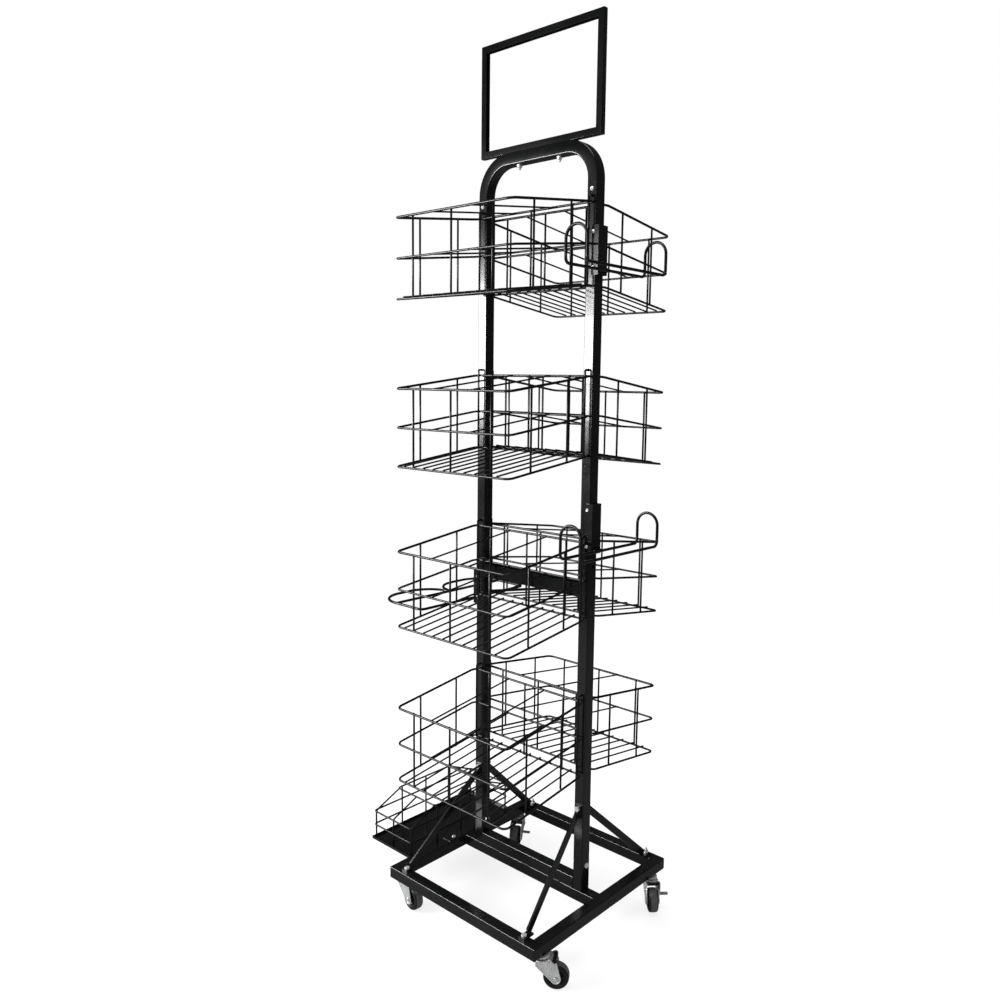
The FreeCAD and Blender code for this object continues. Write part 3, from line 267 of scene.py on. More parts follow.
def skin(bm, rings, closed):
    """Faces between successive rings of vertices, with end caps on an open run."""
    count = len(rings)
    for i in range(count if closed else count - 1):
        a = rings[i]
        b = rings[(i + 1) % count]
        for k in range(len(a)):
            n = (k + 1) % len(a)
            bm.faces.new((a[k], a[n], b[n], b[k]))
    if not closed:
        bm.faces.new(list(reversed(rings[0])))
        bm.faces.new(rings[-1])


def with_chamfers(path, chamfer):
    """The path with a point added a short way in from each end."""
    first = (path[1] - path[0]).normalized() * chamfer
    last = (path[-2] - path[-1]).normalized() * chamfer
    return [path[0], path[0] + first] + path[1:-1] + [path[-1] + last, path[-1]]


def cross_ring(bm, centre, u, v, radius, sides):
    """Ring of vertices in the plane of two crosswise directions."""
    turns = [2 * math.pi * k / sides for k in range(sides)]
    return [bm.verts.new(centre + (u * math.cos(t) + v * math.sin(t)) * radius) for t in turns]


def add_wire(bm, path, diameter, closed=False):
    """Round wire along a path, with chamfered ends."""
    path = [Vector(p) for p in path]
    radius = diameter / 2
    radii = [radius] * len(path)
    if not closed:
        chamfer = radius * 0.3
        path = with_chamfers(path, chamfer)
        radii = [radius - chamfer] + [radius] * (len(path) - 2) + [radius - chamfer]
    rings = []
    for point, size, (u, v) in zip(path, radii, path_frames(path, closed)):
        rings.append(cross_ring(bm, point, u, v, size, WIRE_SIDES))
    skin(bm, rings, closed)


def add_nugget(bm, point, diameter):
    """Resistance weld: a slightly flattened bead where two wires cross."""
    size = diameter / 2 * NUGGET_SIZE
    place = Matrix.Translation(point) @ Matrix.Diagonal((size, size, size * 0.8, 1))
    bmesh.ops.create_icosphere(bm, subdivisions=2, radius=1.0, matrix=place)


def add_ring(bm, matrix, radii, height):
    """Ring of vertices about local Z, one for each radius."""
    ring = []
    for k, radius in enumerate(radii):
        turn = 2 * math.pi * k / len(radii)
        point = Vector((radius * math.cos(turn), radius * math.sin(turn), height))
        ring.append(bm.verts.new(matrix @ point))
    return ring


def add_turned(bm, profile, matrix, sides=40):
    """Solid turned about local Z from (radius, height) points; a zero radius closes an end."""
    rings = []
    for radius, height in profile:
        count = sides if radius else 1
        rings.append(add_ring(bm, matrix, [radius] * count, height))
    for a, b in zip(rings, rings[1:]):
        for k in range(sides):
            n = (k + 1) % sides
            if len(a) == 1:
                bm.faces.new((a[0], b[n], b[k]))
            elif len(b) == 1:
                bm.faces.new((a[k], a[n], b[0]))
            else:
                bm.faces.new((a[k], a[n], b[n], b[k]))


def add_prism(bm, outline, thickness, matrix, bevel):
    """Plate with an (x, y) outline, centred on local z = 0, its rim edges bevelled."""
    rings = []
    for z in (-thickness / 2, thickness / 2):
        rings.append([bm.verts.new(matrix @ Vector((x, y, z))) for x, y in outline])
    skin(bm, rings, closed=False)
    rims = [bm.edges.get((ring[k - 1], ring[k])) for ring in rings for k in range(len(ring))]
    bmesh.ops.bevel(bm, geom=rims, offset=bevel, segments=2, profile=0.5, affect="EDGES")


def at_height(z):
    return Matrix.Translation((0, 0, z))


def finished_mesh(bm, name, sharp_degrees=35):
    """Mesh from the bmesh, smooth except across edges sharper than the given angle."""
    bmesh.ops.recalc_face_normals(bm, faces=bm.faces)
    mesh = bpy.data.meshes.new(name)
    bm.to_mesh(mesh)
    bm.free()
    for polygon in mesh.polygons:
        polygon.use_smooth = True
    mesh.set_sharp_from_angle(angle=math.radians(sharp_degrees))
    return mesh


def new_object(name, data):
    """Object for some data, linked into the scene."""
    made = bpy.data.objects.new(name, data)
    bpy.context.scene.collection.objects.link(made)
    return made


def piece(name, mesh, material, replaced, body="rack", place=(0, 0, 0), turn=0.0):
    """Object for a mesh, riding on a body in place of CAD nodes."""
    made = new_object(name, mesh)
    made.location = place
    made.rotation_euler = (0, 0, turn)
    if not mesh.materials:
        mesh.materials.append(material)
    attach(made, body)
    if replaced:
        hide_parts(*replaced)


def wire_piece(node, bm):
    """Finished wire shape in place of its CAD node."""
    piece("wire_" + node, finished_mesh(bm, node, ROUND_DEGREES), WIRE_BLACK, [node])


# ---- materials

class Nodes:
    """Short way to add and join shader nodes; results are passed on as output sockets."""

    def __init__(self, owner, shader="ShaderNodeBsdfPrincipled", output="ShaderNodeOutputMaterial"):
        self.owner = owner
        owner.use_nodes = True
        self.tree = owner.node_tree
        self.tree.nodes.clear()
        self.shader = self.add(shader)
        self.put(self.add(output).inputs["Surface"], self.shader.outputs[0])
        self.coordinates = self.add("ShaderNodeTexCoord").outputs

    def put(self, target, value):
        """Set an input to a number or an (r, g, b) colour, or join it to an output socket."""
        if isinstance(value, bpy.types.NodeSocket):
            self.tree.links.new(value, target)
        elif isinstance(value, tuple):
            target.default_value = (*value, 1)
        else:
            target.default_value = value

    def add(self, kind, **values):
        """Node with its settings and inputs given by name."""
        node = self.tree.nodes.new(kind)
        for key, value in values.items():
            if hasattr(node, key):
                setattr(node, key, value)
            else:
                self.put(node.inputs[key], value)
        return node

    def finish(self, **inputs):
        """The material or world with its shader's inputs set; spaces in their names become underscores."""
        for key, value in inputs.items():
            self.put(self.shader.inputs[key.replace("_", " ")], value)
        return self.owner

    def noise(self, scale, detail=3.0, roughness=0.5):
        node = self.add("ShaderNodeTexNoise", Scale=scale, Detail=detail, Roughness=roughness)
        self.put(node.inputs["Vector"], self.coordinates["Object"])
        return node.outputs["Fac"]

    def remap(self, source, from_low, from_high, to_low, to_high):
        ends = {"From Min": from_low, "From Max": from_high, "To Min": to_low, "To Max": to_high}
        return self.add("ShaderNodeMapRange", Value=source, **ends).outputs["Result"]

    def ramp(self, source, *stops):
        """Colour ramp from (position, (r, g, b)) stops."""
        node = self.add("ShaderNodeValToRGB", Fac=source)
        while len(node.color_ramp.elements) < len(stops):
            node.color_ramp.elements.new(0.5)
        for element, (position, colour) in zip(node.color_ramp.elements, stops):
            element.position = position
            element.color = (*colour, 1)
        return node.outputs["Color"]

    def mix(self, factor, first, second):
        """Mix of two colours, each given as (r, g, b) or as a socket."""
        node = self.add("ShaderNodeMix", data_type="RGBA")
        for index, value in ((0, factor), (6, first), (7, second)):
            self.put(node.inputs[index], value)
        return node.outputs[2]

    def bump(self, source, strength, distance, below=None):
        node = self.add("ShaderNodeBump", Height=source, Strength=strength, Distance=distance)
        if below:
            self.put(node.inputs["Normal"], below)
        return node.outputs["Normal"]

    def calculate(self, operation, *values, kind="ShaderNodeMath"):
        """Result of a math node, or of a vector math node that gives a number."""
        node = self.add(kind, operation=operation)
        for target, value in zip(node.inputs, values):
            self.put(target, value)
        return node.outputs["Value"]

    def face_normal(self):
        return self.add("ShaderNodeNewGeometry").outputs["Normal"]

    def part_of(self, vector, axis):
        return self.add("ShaderNodeSeparateXYZ", Vector=vector).outputs[axis]

    def edge_mask(self, radius):
        """1 on convex edges, 0 on flat faces, from how far a bevelled normal leans."""
        bevelled = self.add("ShaderNodeBevel", samples=4, Radius=radius).outputs["Normal"]
        lean = self.calculate("DOT_PRODUCT", bevelled, self.face_normal(), kind="ShaderNodeVectorMath")
        return self.remap(lean, 1.0, 0.86, 0.0, 1.0)

    def upward_mask(self):
        """1 on faces that look up, where dust settles."""
        return self.remap(self.part_of(self.face_normal(), "Z"), 0.75, 1.0, 0.0, 1.0)


def powder_coat(name, peel_scale=900.0, gloss=0.19, edge_rub_and_highlight=True, coat=0.25):
    """Black semi-gloss powder coat: orange peel, cloudy gloss, faint dust and lighter edges that are partly rubbed
    wear and partly a painted highlight.
    """
    n = Nodes(bpy.data.materials.new(name))
    cloud = n.noise(9.0, 4.0)
    base = n.ramp(cloud, (0.3, (0.0022, 0.0024, 0.0027)), (0.7, (0.0042, 0.0044, 0.0048)))
    flecks = n.remap(n.noise(420.0, 2.0), 0.45, 0.8, 0.0, 0.25)
    dust = n.calculate("MULTIPLY", n.upward_mask(), flecks)
    colour = n.mix(dust, base, (0.030, 0.030, 0.030))
    if edge_rub_and_highlight:
        # lighter edges in patches: partly rubbed wear, partly a painted edge highlight
        patches = n.remap(cloud, 0.35, 0.6, 0.2, 1.0)
        rub_and_highlight = n.calculate("MULTIPLY", n.edge_mask(0.9 * MM), patches)
        colour = n.mix(rub_and_highlight, colour, (0.020, 0.021, 0.022))
    ripple = n.bump(n.noise(peel_scale / 5, 1.0), 0.06, 0.3 * MM)
    peel = n.bump(n.noise(peel_scale, 1.5), 0.16, 0.12 * MM, ripple)
    return n.finish(Base_Color=colour, Roughness=n.remap(cloud, 0.3, 0.7, gloss - 0.04, gloss + 0.05),
                    IOR=1.45, Coat_Weight=coat, Coat_Roughness=0.10, Normal=peel)


PLATE_METALLIC = 0.6  # zinc has a chalky film over the metal


def zinc_plate(name):
    """Bright zinc plating: soft spangle, faint yellow and blue passivation, random grime, fine scratches, painted
    highlights on its edges and painted shade in its grooves.
    """
    n = Nodes(bpy.data.materials.new(name))
    spangle = n.add("ShaderNodeTexVoronoi", Scale=420.0, Vector=n.coordinates["Object"]).outputs["Distance"]
    colour = n.ramp(n.noise(60.0, 4.0), (0.30, (0.54, 0.56, 0.58)), (0.52, (0.66, 0.67, 0.67)),
                    (0.75, (0.74, 0.73, 0.69)))
    grime = n.remap(n.noise(150.0, 5.0, 0.7), 0.55, 0.8, 0.0, 0.5)
    colour = n.mix(grime, colour, (0.26, 0.26, 0.26))
    # painted highlight: the plating's convex edges are painted near white
    colour = n.mix(n.edge_mask(1.5 * MM), colour, (0.98, 0.98, 0.98))
    # painted shade: ambient occlusion darkens the plating in grooves, recesses and corners
    painted_groove_shade = n.add("ShaderNodeAmbientOcclusion", samples=6, Distance=2.5 * MM).outputs["AO"]
    colour = n.mix(n.remap(painted_groove_shade, 0.45, 0.92, 0.85, 0.0), colour, (0.05, 0.05, 0.05))
    cells = n.bump(spangle, 0.10, 0.15 * MM)
    scratches = n.bump(n.noise(1400.0, 2.0), 0.10, 0.05 * MM, cells)
    return n.finish(Base_Color=colour, Metallic=PLATE_METALLIC, Normal=scratches,
                    Roughness=n.remap(spangle, 0.0, 0.8, 0.20, 0.38))


def cloudy_finish(name, scale, detail, dark, light, gloss, bump, grain_scale=None, metallic=0.0):
    """Two tones in soft clouds, with gloss and bump that follow the clouds or a finer grain."""
    n = Nodes(bpy.data.materials.new(name))
    cloud = n.noise(scale, detail)
    grain = n.noise(grain_scale, 2.0) if grain_scale else cloud
    colour = n.ramp(cloud, (0.3, dark), (0.7, light))
    return n.finish(Base_Color=colour, Metallic=metallic, Roughness=n.remap(grain, 0.3, 0.7, *gloss),
                    Normal=n.bump(grain, *bump))


def rubber(name):
    """Black rubber with scuffs and a little dust, its tread greyed partly by wear on the floor and partly by a
    painted sheen.
    """
    n = Nodes(bpy.data.materials.new(name))
    scuff = n.noise(70.0, 6.0, 0.65)
    walls = n.ramp(scuff, (0.35, (0.0035, 0.0035, 0.0035)), (0.62, (0.008, 0.008, 0.008)),
                   (0.85, (0.030, 0.029, 0.027)))
    # lighter tread: partly dust and scuffing, partly a painted sheen of light on the tread
    tread = n.ramp(scuff, (0.35, (0.040, 0.042, 0.044)), (0.75, (0.085, 0.087, 0.088)))
    sideways = n.calculate("ABSOLUTE", n.part_of(n.coordinates["Normal"], "Y"))
    colour = n.mix(n.remap(sideways, 0.15, 0.55, 1.0, 0.0), walls, tread)
    scuffs = n.bump(scuff, 0.12, 0.4 * MM)
    grain = n.bump(n.noise(1500.0, 2.0), 0.25, 0.08 * MM, scuffs)
    return n.finish(Base_Color=colour, Roughness=n.remap(scuff, 0.3, 0.8, 0.30, 0.60), Normal=grain)


def floor_finish(name):
    """Plain pale studio floor with the faintest unevenness, fading out at its rim."""
    n = Nodes(bpy.data.materials.new(name))
    rays = n.add("ShaderNodeLightPath").outputs
    colour = n.ramp(n.noise(2.0, 2.0), (0.3, (0.86, 0.86, 0.86)), (0.7, (0.88, 0.88, 0.88)))
    colour = n.mix(rays["Is Glossy Ray"], colour, (FLOOR_MIRRORED,) * 3)
    colour = n.mix(rays["Is Camera Ray"], colour, (FLOOR_SHADOWED,) * 3)
    lift = n.remap(rays["Is Camera Ray"], 0.0, 1.0, 0.0, FLOOR_LIFT)
    distance = n.calculate("LENGTH", n.coordinates["Object"], kind="ShaderNodeVectorMath")
    return n.finish(Base_Color=colour, Roughness=0.85, Specular_IOR_Level=0.1, Emission_Color=(1, 1, 1),
                    Emission_Strength=lift, Alpha=n.remap(distance, *FLOOR_FADE, 1.0, 0.0))


BLACK = powder_coat("black_powder_coat")
WIRE_BLACK = powder_coat("black_wire_coat", peel_scale=1300.0, gloss=0.30, edge_rub_and_highlight=False, coat=0.05)
BRAKE_BLACK = powder_coat("black_brake_bar", peel_scale=1600.0, gloss=0.34, coat=0.0)
ZINC = zinc_plate("zinc_plate")
DARK_ZINC = cloudy_finish("dark_zinc", 120.0, 4.0, (0.24, 0.25, 0.25), (0.40, 0.41, 0.40),
                          gloss=(0.26, 0.44), bump=(0.10, 0.1 * MM), metallic=PLATE_METALLIC)
RUBBER = rubber("black_rubber")
NYLON = cloudy_finish("black_nylon", 40.0, 3.0, (0.005, 0.005, 0.005), (0.011, 0.011, 0.011),
                      gloss=(0.34, 0.50), bump=(0.30, 0.06 * MM), grain_scale=1800.0)
STEEL = cloudy_finish("bearing_steel", 300.0, 3.0, (0.30, 0.29, 0.27), (0.55, 0.54, 0.52),
                      gloss=(0.10, 0.30), bump=(0.05, 0.05 * MM), metallic=1.0)


# ---- baskets

def basket_point(x, distance, depth, lift=0.0):
    """Point below the sloping rim plane; the rim at the posts is at z = 0."""
    slope = RIM_DROP / (BASKET_OUTER_Y - BASKET_INNER_Y)
    return Vector((x, -distance, lift - depth - slope * (distance - BASKET_INNER_Y)))


def basket_mesh():
    """Front basket as drawn wire with resistance welds."""
    bm = bmesh.new()
    half, inner, outer = BASKET_HALF_WIDTH, BASKET_INNER_Y, BASKET_OUTER_Y
    outline = ((half, outer), (half, inner), (-half, inner), (-half, outer))
    inset = RIM_WIRE / 2 + UPRIGHT_WIRE / 2 - WELD_SINK
    for depth, wire in zip(RING_DEPTHS, (RIM_WIRE, RING_WIRE, RING_WIRE)):
        corners = [basket_point(x, y, depth) for x, y in outline]
        add_wire(bm, rounded_path(corners, BASKET_CORNER, closed=True), wire, closed=True)

    uprights = [(x, outer - inset, 0, -1) for x in WALL_UPRIGHT_X]
    uprights += [(x, inner + inset, 0, 1) for x in WALL_UPRIGHT_X]
    uprights += [(side * (half - inset), y, side, 0) for side in (-1, 1) for y in SIDE_UPRIGHT_Y]
    touch = UPRIGHT_WIRE / 2 - WELD_SINK / 2
    for x, y, lean_x, lean_y in uprights:
        add_wire(bm, [basket_point(x, y, depth) for depth in (0.0, RING_DEPTHS[-1])], UPRIGHT_WIRE)
        for depth in RING_DEPTHS:
            contact = basket_point(x, y, depth) + Vector((lean_x * touch, lean_y * touch, 0))
            add_nugget(bm, contact, UPRIGHT_WIRE * 0.85)

    lift = RING_WIRE / 2 + FLOOR_WIRE / 2 - WELD_SINK
    hook_inset = inner + RIM_WIRE / 2 + RING_WIRE / 2 - WELD_SINK
    for side in (-1, 1):
        for depth in RING_DEPTHS[:2]:
            ends = [basket_point(side * DIVIDER_X, y, depth) for y in (inner, outer)]
            add_wire(bm, ends, FLOOR_WIRE)
            for end in ends:
                add_nugget(bm, end, RING_WIRE)
        for x in FLOOR_WIRE_X:
            reach = (inner - FLOOR_WIRE_END, outer + FLOOR_WIRE_END)
            add_wire(bm, [basket_point(side * x, y, RING_DEPTHS[-1], lift) for y in reach], FLOOR_WIRE)
            for y in (inner, outer):
                add_nugget(bm, basket_point(side * x, y, RING_DEPTHS[-1], lift * 0.55), FLOOR_WIRE)
        hook = [
            basket_point(side * POST_X, hook_inset, RING_DEPTHS[-1]),
            Vector((side * POST_X, -hook_inset, HOOK_RISE)),
            Vector((side * POST_X, -HOOK_DEPTH_Y, HOOK_RISE)),
            Vector((side * POST_X, -HOOK_DEPTH_Y, HOOK_RISE - HOOK_TIP)),
        ]
        add_wire(bm, rounded_path(hook, HOOK_BEND), RING_WIRE)
        for depth in RING_DEPTHS:
            add_nugget(bm, basket_point(side * POST_X, hook_inset - touch, depth), RING_WIRE * 0.9)
    return finished_mesh(bm, "basket_wire", ROUND_DEGREES)


def build_baskets():
    """Eight hook-on baskets that share one mesh."""
    mesh = basket_mesh()
    top_of_hook = HOOK_RISE + RING_WIRE / 2
    for face, turn in (("front", 0.0), ("back", math.pi)):
        for tier in range(1, 5):
            node = "basket_%s_%d" % (face, tier)
            rim_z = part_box(node)[1].z - top_of_hook
            piece("wire_" + node, mesh, WIRE_BLACK, [node], place=(0, 0, rim_z), turn=turn)


# ---- hangers, ring and guard

def arm_wires(bm, wire_x, wire_z):
    """Two short arms back through the bracket, with a weld at the carried wire."""
    tail_x = math.copysign(ARM_TAIL_X, wire_x)
    for y in (-ARM_Y, ARM_Y):
        add_wire(bm, [(tail_x, y, wire_z), (wire_x, y, wire_z)], HANGER_WIRE)
        add_nugget(bm, Vector((wire_x, y, wire_z)), HANGER_WIRE)


def build_hanger(node):
    """Two level rails and an upright loop at each end."""
    top_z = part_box(node)[1].z - HANGER_WIRE / 2
    rail_z = top_z - RAIL_LOOP_HEIGHT
    bend_z = top_z - RAIL_TOP_BEND
    ends = ((RAIL_HALF_LENGTH, RAIL_INNER_X, RAIL_OUTER_X), (-RAIL_HALF_LENGTH, RAIL_OUTER_X, RAIL_INNER_X))
    path = []
    for y, first_x, last_x in ends:
        up = [(first_x, 0, rail_z), (first_x, y, rail_z), (first_x, y, bend_z)]
        over = [(first_x, y, bend_z), (first_x, y, top_z), (last_x, y, top_z), (last_x, y, bend_z)]
        down = [(last_x, y, bend_z), (last_x, y, rail_z), (last_x, 0, rail_z)]
        path += rounded_path(up, RAIL_FOOT_BEND)[1:-1]
        path += rounded_path(over, RAIL_TOP_BEND, steps=12)[1:-1]
        path += rounded_path(down, RAIL_FOOT_BEND)[1:]
    bm = bmesh.new()
    add_wire(bm, path, HANGER_WIRE, closed=True)
    arm_wires(bm, RAIL_INNER_X, rail_z)
    wire_piece(node, bm)


def build_umbrella_ring():
    """Straight rail at the post, straight spine and two round bays."""
    z = middle_z("umbrella_ring")
    half = RING_HALF_LENGTH
    bm = bmesh.new()
    rail = rounded_path([(RING_SPINE_X, half, z), (RING_NEAR_X, half, z), (RING_NEAR_X, -half, z),
                         (RING_SPINE_X, -half, z)], RING_CORNER)
    bays = []
    for end in (-1, 1):
        bay = [(RING_SPINE_X, end * half, z), (RING_OUTER_X, end * half, z),
               (RING_OUTER_X, end * RING_WAIST_Y, z), (RING_SPINE_X, end * RING_WAIST_Y, z)]
        bays.append(rounded_path(bay, RING_BAY_BEND, steps=20))
    add_wire(bm, list(reversed(bays[1])) + rail[1:-1] + bays[0], HANGER_WIRE)
    add_wire(bm, [(RING_SPINE_X, -half, z), (RING_SPINE_X, half, z)], HANGER_WIRE)
    for y in (-half, -RING_WAIST_Y, RING_WAIST_Y, half):
        add_nugget(bm, Vector((RING_SPINE_X, y, z)), HANGER_WIRE)
    arm_wires(bm, RING_NEAR_X, z)
    wire_piece("umbrella_ring", bm)


def build_guard():
    """Wire fence in the drip tray, sloping up from each end to a short top ring."""
    low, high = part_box("tray_guard")
    foot_z, top_z = low.z, high.z - GUARD_WIRE / 2
    ring_z = [foot_z + rise for rise in GUARD_RING_RISE]
    inset = GUARD_WIRE - WELD_SINK
    bm = bmesh.new()
    levels = [(z, GUARD_HALF_LENGTH) for z in ring_z] + [(top_z, GUARD_TOP_HALF_LENGTH)]
    for z, half in levels:
        corners = [(x, y, z) for x, y in rectangle(GUARD_OUTER_X, GUARD_INNER_X, -half, half)]
        add_wire(bm, rounded_path(corners, GUARD_CORNER, closed=True), GUARD_WIRE, closed=True)
    side_x = (GUARD_OUTER_X + inset, GUARD_INNER_X - inset)
    middle_x = (GUARD_OUTER_X + GUARD_INNER_X) / 2
    for x in side_x:
        outward = math.copysign(inset / 2, x - middle_x)
        for y in GUARD_UPRIGHT_Y:
            add_wire(bm, [(x, y, foot_z), (x, y, top_z)], GUARD_WIRE)
            for z, _ in levels:
                add_nugget(bm, Vector((x + outward, y, z)), NUGGET_ON_GUARD)
    for x in side_x + (middle_x,):
        for end in (-1, 1):
            low_y = end * (GUARD_HALF_LENGTH - inset)
            high_y = end * (GUARD_TOP_HALF_LENGTH - inset)
            bent = [(x, low_y, foot_z), (x, low_y, ring_z[1]), (x, high_y, top_z)]
            add_wire(bm, rounded_path(bent, 2 * GUARD_WIRE), GUARD_WIRE)
            for y, z in ((low_y, ring_z[0]), (low_y, ring_z[1]), (high_y, top_z)):
                add_nugget(bm, Vector((x, y + end * inset / 2, z)), NUGGET_ON_GUARD)
    wire_piece("tray_guard", bm)


# ---- casters

def eye_points(start, end):
    """Outline of the leg's round eye between the tangents from two corners."""
    ends = []
    for (x, z), side in ((start, -1), (end, 1)):
        dx, dz = TRAIL - x, AXLE_Z - z
        lean = math.asin(EYE_RADIUS / math.hypot(dx, dz)) + math.pi / 2
        ends.append(math.degrees(math.atan2(dz, dx) + side * lean))
    return arc_points((TRAIL, AXLE_Z), EYE_RADIUS, *ends, 18)


def leg_outline(slotted):
    """Fork side plate seen from the side, as (trail, height) points."""
    outline = [(LEG_REAR[0], FORK_PLATE_TOP), LEG_REAR] + eye_points(LEG_REAR, LEG_TIP)
    if slotted:
        slot = arc_points(BRAKE_SLOT, BRAKE_SLOT_RADIUS, -52, -180, 10)
        outline += slot + [(slot[-1][0] - BRAKE_SLOT_LEAN, slot[-1][1] + BRAKE_SLOT_RADIUS)]
    else:
        outline += [LEG_TIP, LEG_NOTCH]
    return outline + list(LEG_CREST)


def offset_outline(outline, distance):
    """The outline, drawn counter-clockwise, with every edge moved outward by a distance."""
    moved = []
    count = len(outline)
    for i, (x, z) in enumerate(outline):
        before, after = outline[i - 1], outline[(i + 1) % count]
        first = Vector((z - before[1], before[0] - x)).normalized()
        second = Vector((after[1] - z, x - after[0])).normalized()
        middle = (first + second).normalized()
        reach = distance / max(middle.dot(first), 0.4)
        moved.append((x + middle.x * reach, z + middle.y * reach))
    return moved


def add_pressed_leg(bm, side):
    """Side plate with a broken outer edge and a shallow sunk panel."""
    outline = leg_outline(slotted=side > 0)
    rings = []
    for drop, inset in LEG_PROFILE:
        loop = offset_outline(outline, -inset * MM) if inset else outline
        y = side * (LEG_OUTER_Y - drop * MM)
        rings.append([bm.verts.new((x, y, z)) for x, z in loop])
    skin(bm, rings, closed=False)


def across_axle(y):
    """Place for a plate drawn as (trail, height), standing across the axle at y."""
    return Matrix.Translation((0, y, 0)) @ Matrix.Rotation(math.pi / 2, 4, "X")


def along_axle(x, z):
    """Place for a turned shape whose axis lies along the axle."""
    return Matrix.Translation((x, 0, z)) @ Matrix.Rotation(-math.pi / 2, 4, "X")


def fork_mesh():
    """Pressed and plated fork: rolled top plate, bridge and two legs."""
    bm = bmesh.new()
    low, high, rim = FORK_PLATE_BOTTOM, FORK_PLATE_TOP, FORK_PLATE_RADIUS
    roll = 1.2 * MM
    bore = KINGPIN_RADIUS + 0.1 * MM
    bevel = roll * 0.3
    profile = [(bore, low), (rim - roll, low), (rim - bevel, low + bevel), (rim, low + roll),
               (rim, high - roll), (rim - bevel, high - bevel), (rim - roll, high),
               (bore, high), (bore, low)]
    add_turned(bm, profile, Matrix(), 56)
    bridge = rectangle(BRIDGE_START_X, FORK_PLATE_END_X, -LEG_OUTER_Y, LEG_OUTER_Y)
    add_prism(bm, bridge, high - low - 0.1 * MM, at_height((low + high) / 2), 0.8 * MM)
    for side in (-1, 1):
        add_pressed_leg(bm, side)
    return finished_mesh(bm, "caster_fork", ROUND_DEGREES)


def tyre_mesh():
    """Tread with a crowned face and rounded shoulders."""
    bm = bmesh.new()
    half = WHEEL_WIDTH / 2
    shoulder = 4.2 * MM
    flat_end = WHEEL_RADIUS - shoulder
    side = [(HUB_RADIUS, -half + 0.6 * MM), (HUB_RADIUS + 0.8 * MM, -half), (flat_end, -half)]
    centre = (flat_end - 0.3 * MM, -half + shoulder)
    crown = [(WHEEL_RADIUS - 0.05 * MM, -3.0 * MM), (WHEEL_RADIUS, 0.0)]
    lower = side + arc_points(centre, shoulder, -75, -12, 6) + crown
    add_turned(bm, lower + mirrored(lower[:-1]) + [lower[0]], along_axle(TRAIL, AXLE_Z), 72)
    return finished_mesh(bm, "caster_tyre")


def hub_mesh():
    """Moulded hub: rim, dished web with spokes, and a boss on the axle."""
    bm = bmesh.new()
    rim = HUB_RADIUS
    face = 8.5 * MM
    dish = 4.0 * MM
    boss = 7.0 * MM
    bore = AXLE_RIVET_RADIUS + FIT_GAP
    tip = LEG_INNER_Y - 0.3 * MM
    half = [(bore, tip - 0.5 * MM), (bore + 0.6 * MM, tip), (boss - 0.8 * MM, tip), (boss, tip - 0.8 * MM),
            (boss + 0.8 * MM, dish + 0.6 * MM), (boss + 1.6 * MM, dish), (rim - 3.6 * MM, dish),
            (rim - 2.6 * MM, dish + 0.8 * MM), (rim - 2.2 * MM, face - 0.6 * MM), (rim - 1.6 * MM, face),
            (rim - 0.5 * MM, face), (rim, face - 0.5 * MM)]
    place = along_axle(TRAIL, AXLE_Z)
    add_turned(bm, half + mirrored(half) + [half[0]], place, 64)
    spoke = rectangle(boss - 0.5 * MM, rim - 2.4 * MM, -1.0 * MM, 1.0 * MM)
    for k in range(HUB_SPOKES):
        turn = Matrix.Rotation(2 * math.pi * k / HUB_SPOKES, 4, "Z")
        add_prism(bm, spoke, 2 * (face - 1.6 * MM), place @ turn, 0.5 * MM)
    return finished_mesh(bm, "caster_hub")


def add_hex(bm, matrix, across_flats, height, bore=0.0):
    """Hex head or nut standing on local z = 0, its outer corners chamfered."""
    sides = 48
    flat = across_flats / 2
    chamfer = 0.10 * across_flats
    edge = []
    for k in range(sides):
        within = (2 * math.pi * k / sides) % (math.pi / 3) - math.pi / 6
        edge.append(min(flat / math.cos(within), across_flats / math.sqrt(3)))
    levels = [(0.0, [radius * 0.96 for radius in edge]), (chamfer * 0.25, edge),
              (height - chamfer * 0.6, edge), (height, [flat * 0.97] * sides)]
    if bore:
        for z, radius in ((height, bore + 0.5 * MM), (height - 0.5 * MM, bore), (0.0, bore)):
            levels.append((z, [radius] * sides))
    skin(bm, [add_ring(bm, matrix, radii, z) for z, radii in levels], closed=bool(bore))


def add_thread_end(bm, matrix, radius, length):
    """Visible end of a screw: a few thread ridges and a chamfered tip, from local z = 0."""
    pitch = 1.0 * MM
    ridge = 0.18 * MM
    profile = [(0.0, 0.0), (radius, 0.0)]
    z = 0.0
    while z + pitch < length:
        profile += [(radius, z + pitch * 0.2), (radius - ridge, z + pitch * 0.6)]
        z += pitch
    profile += [(radius - ridge, length - 0.6 * MM), (radius - 0.8 * MM, length), (0.0, length)]
    add_turned(bm, profile, matrix, 24)


def rivet_head(radius):
    """Formed rivet head as (radius, height): a flat collar, a groove and a domed middle."""
    return [(radius, 0.0), (radius, 0.5 * MM), (radius - 0.4 * MM, 0.9 * MM), (radius * 0.72, 0.9 * MM),
            (radius * 0.66, 0.35 * MM), (radius * 0.58, 0.35 * MM), (radius * 0.52, 1.4 * MM),
            (radius * 0.36, 1.85 * MM), (0.0, 2.0 * MM)]


def pins_mesh():
    """Axle rivet and the shorter rivet the brake lever turns on."""
    bm = bmesh.new()
    head = rivet_head(RIVET_HEAD_RADIUS)
    rivets = (((TRAIL, AXLE_Z), AXLE_RIVET_RADIUS, -LEG_OUTER_Y, LEG_OUTER_Y),
              (BRAKE_PIN, BRAKE_RIVET_RADIUS, LEG_INNER_Y, LEVER_OUTER_Y + FIT_GAP))
    for (x, z), shank, low, high in rivets:
        lower = [(radius, low - height) for radius, height in reversed(head)]
        upper = [(radius, high + height) for radius, height in head]
        add_turned(bm, lower + [(shank, low), (shank, high)] + upper, along_axle(x, z), 32)
    return finished_mesh(bm, "caster_pins")


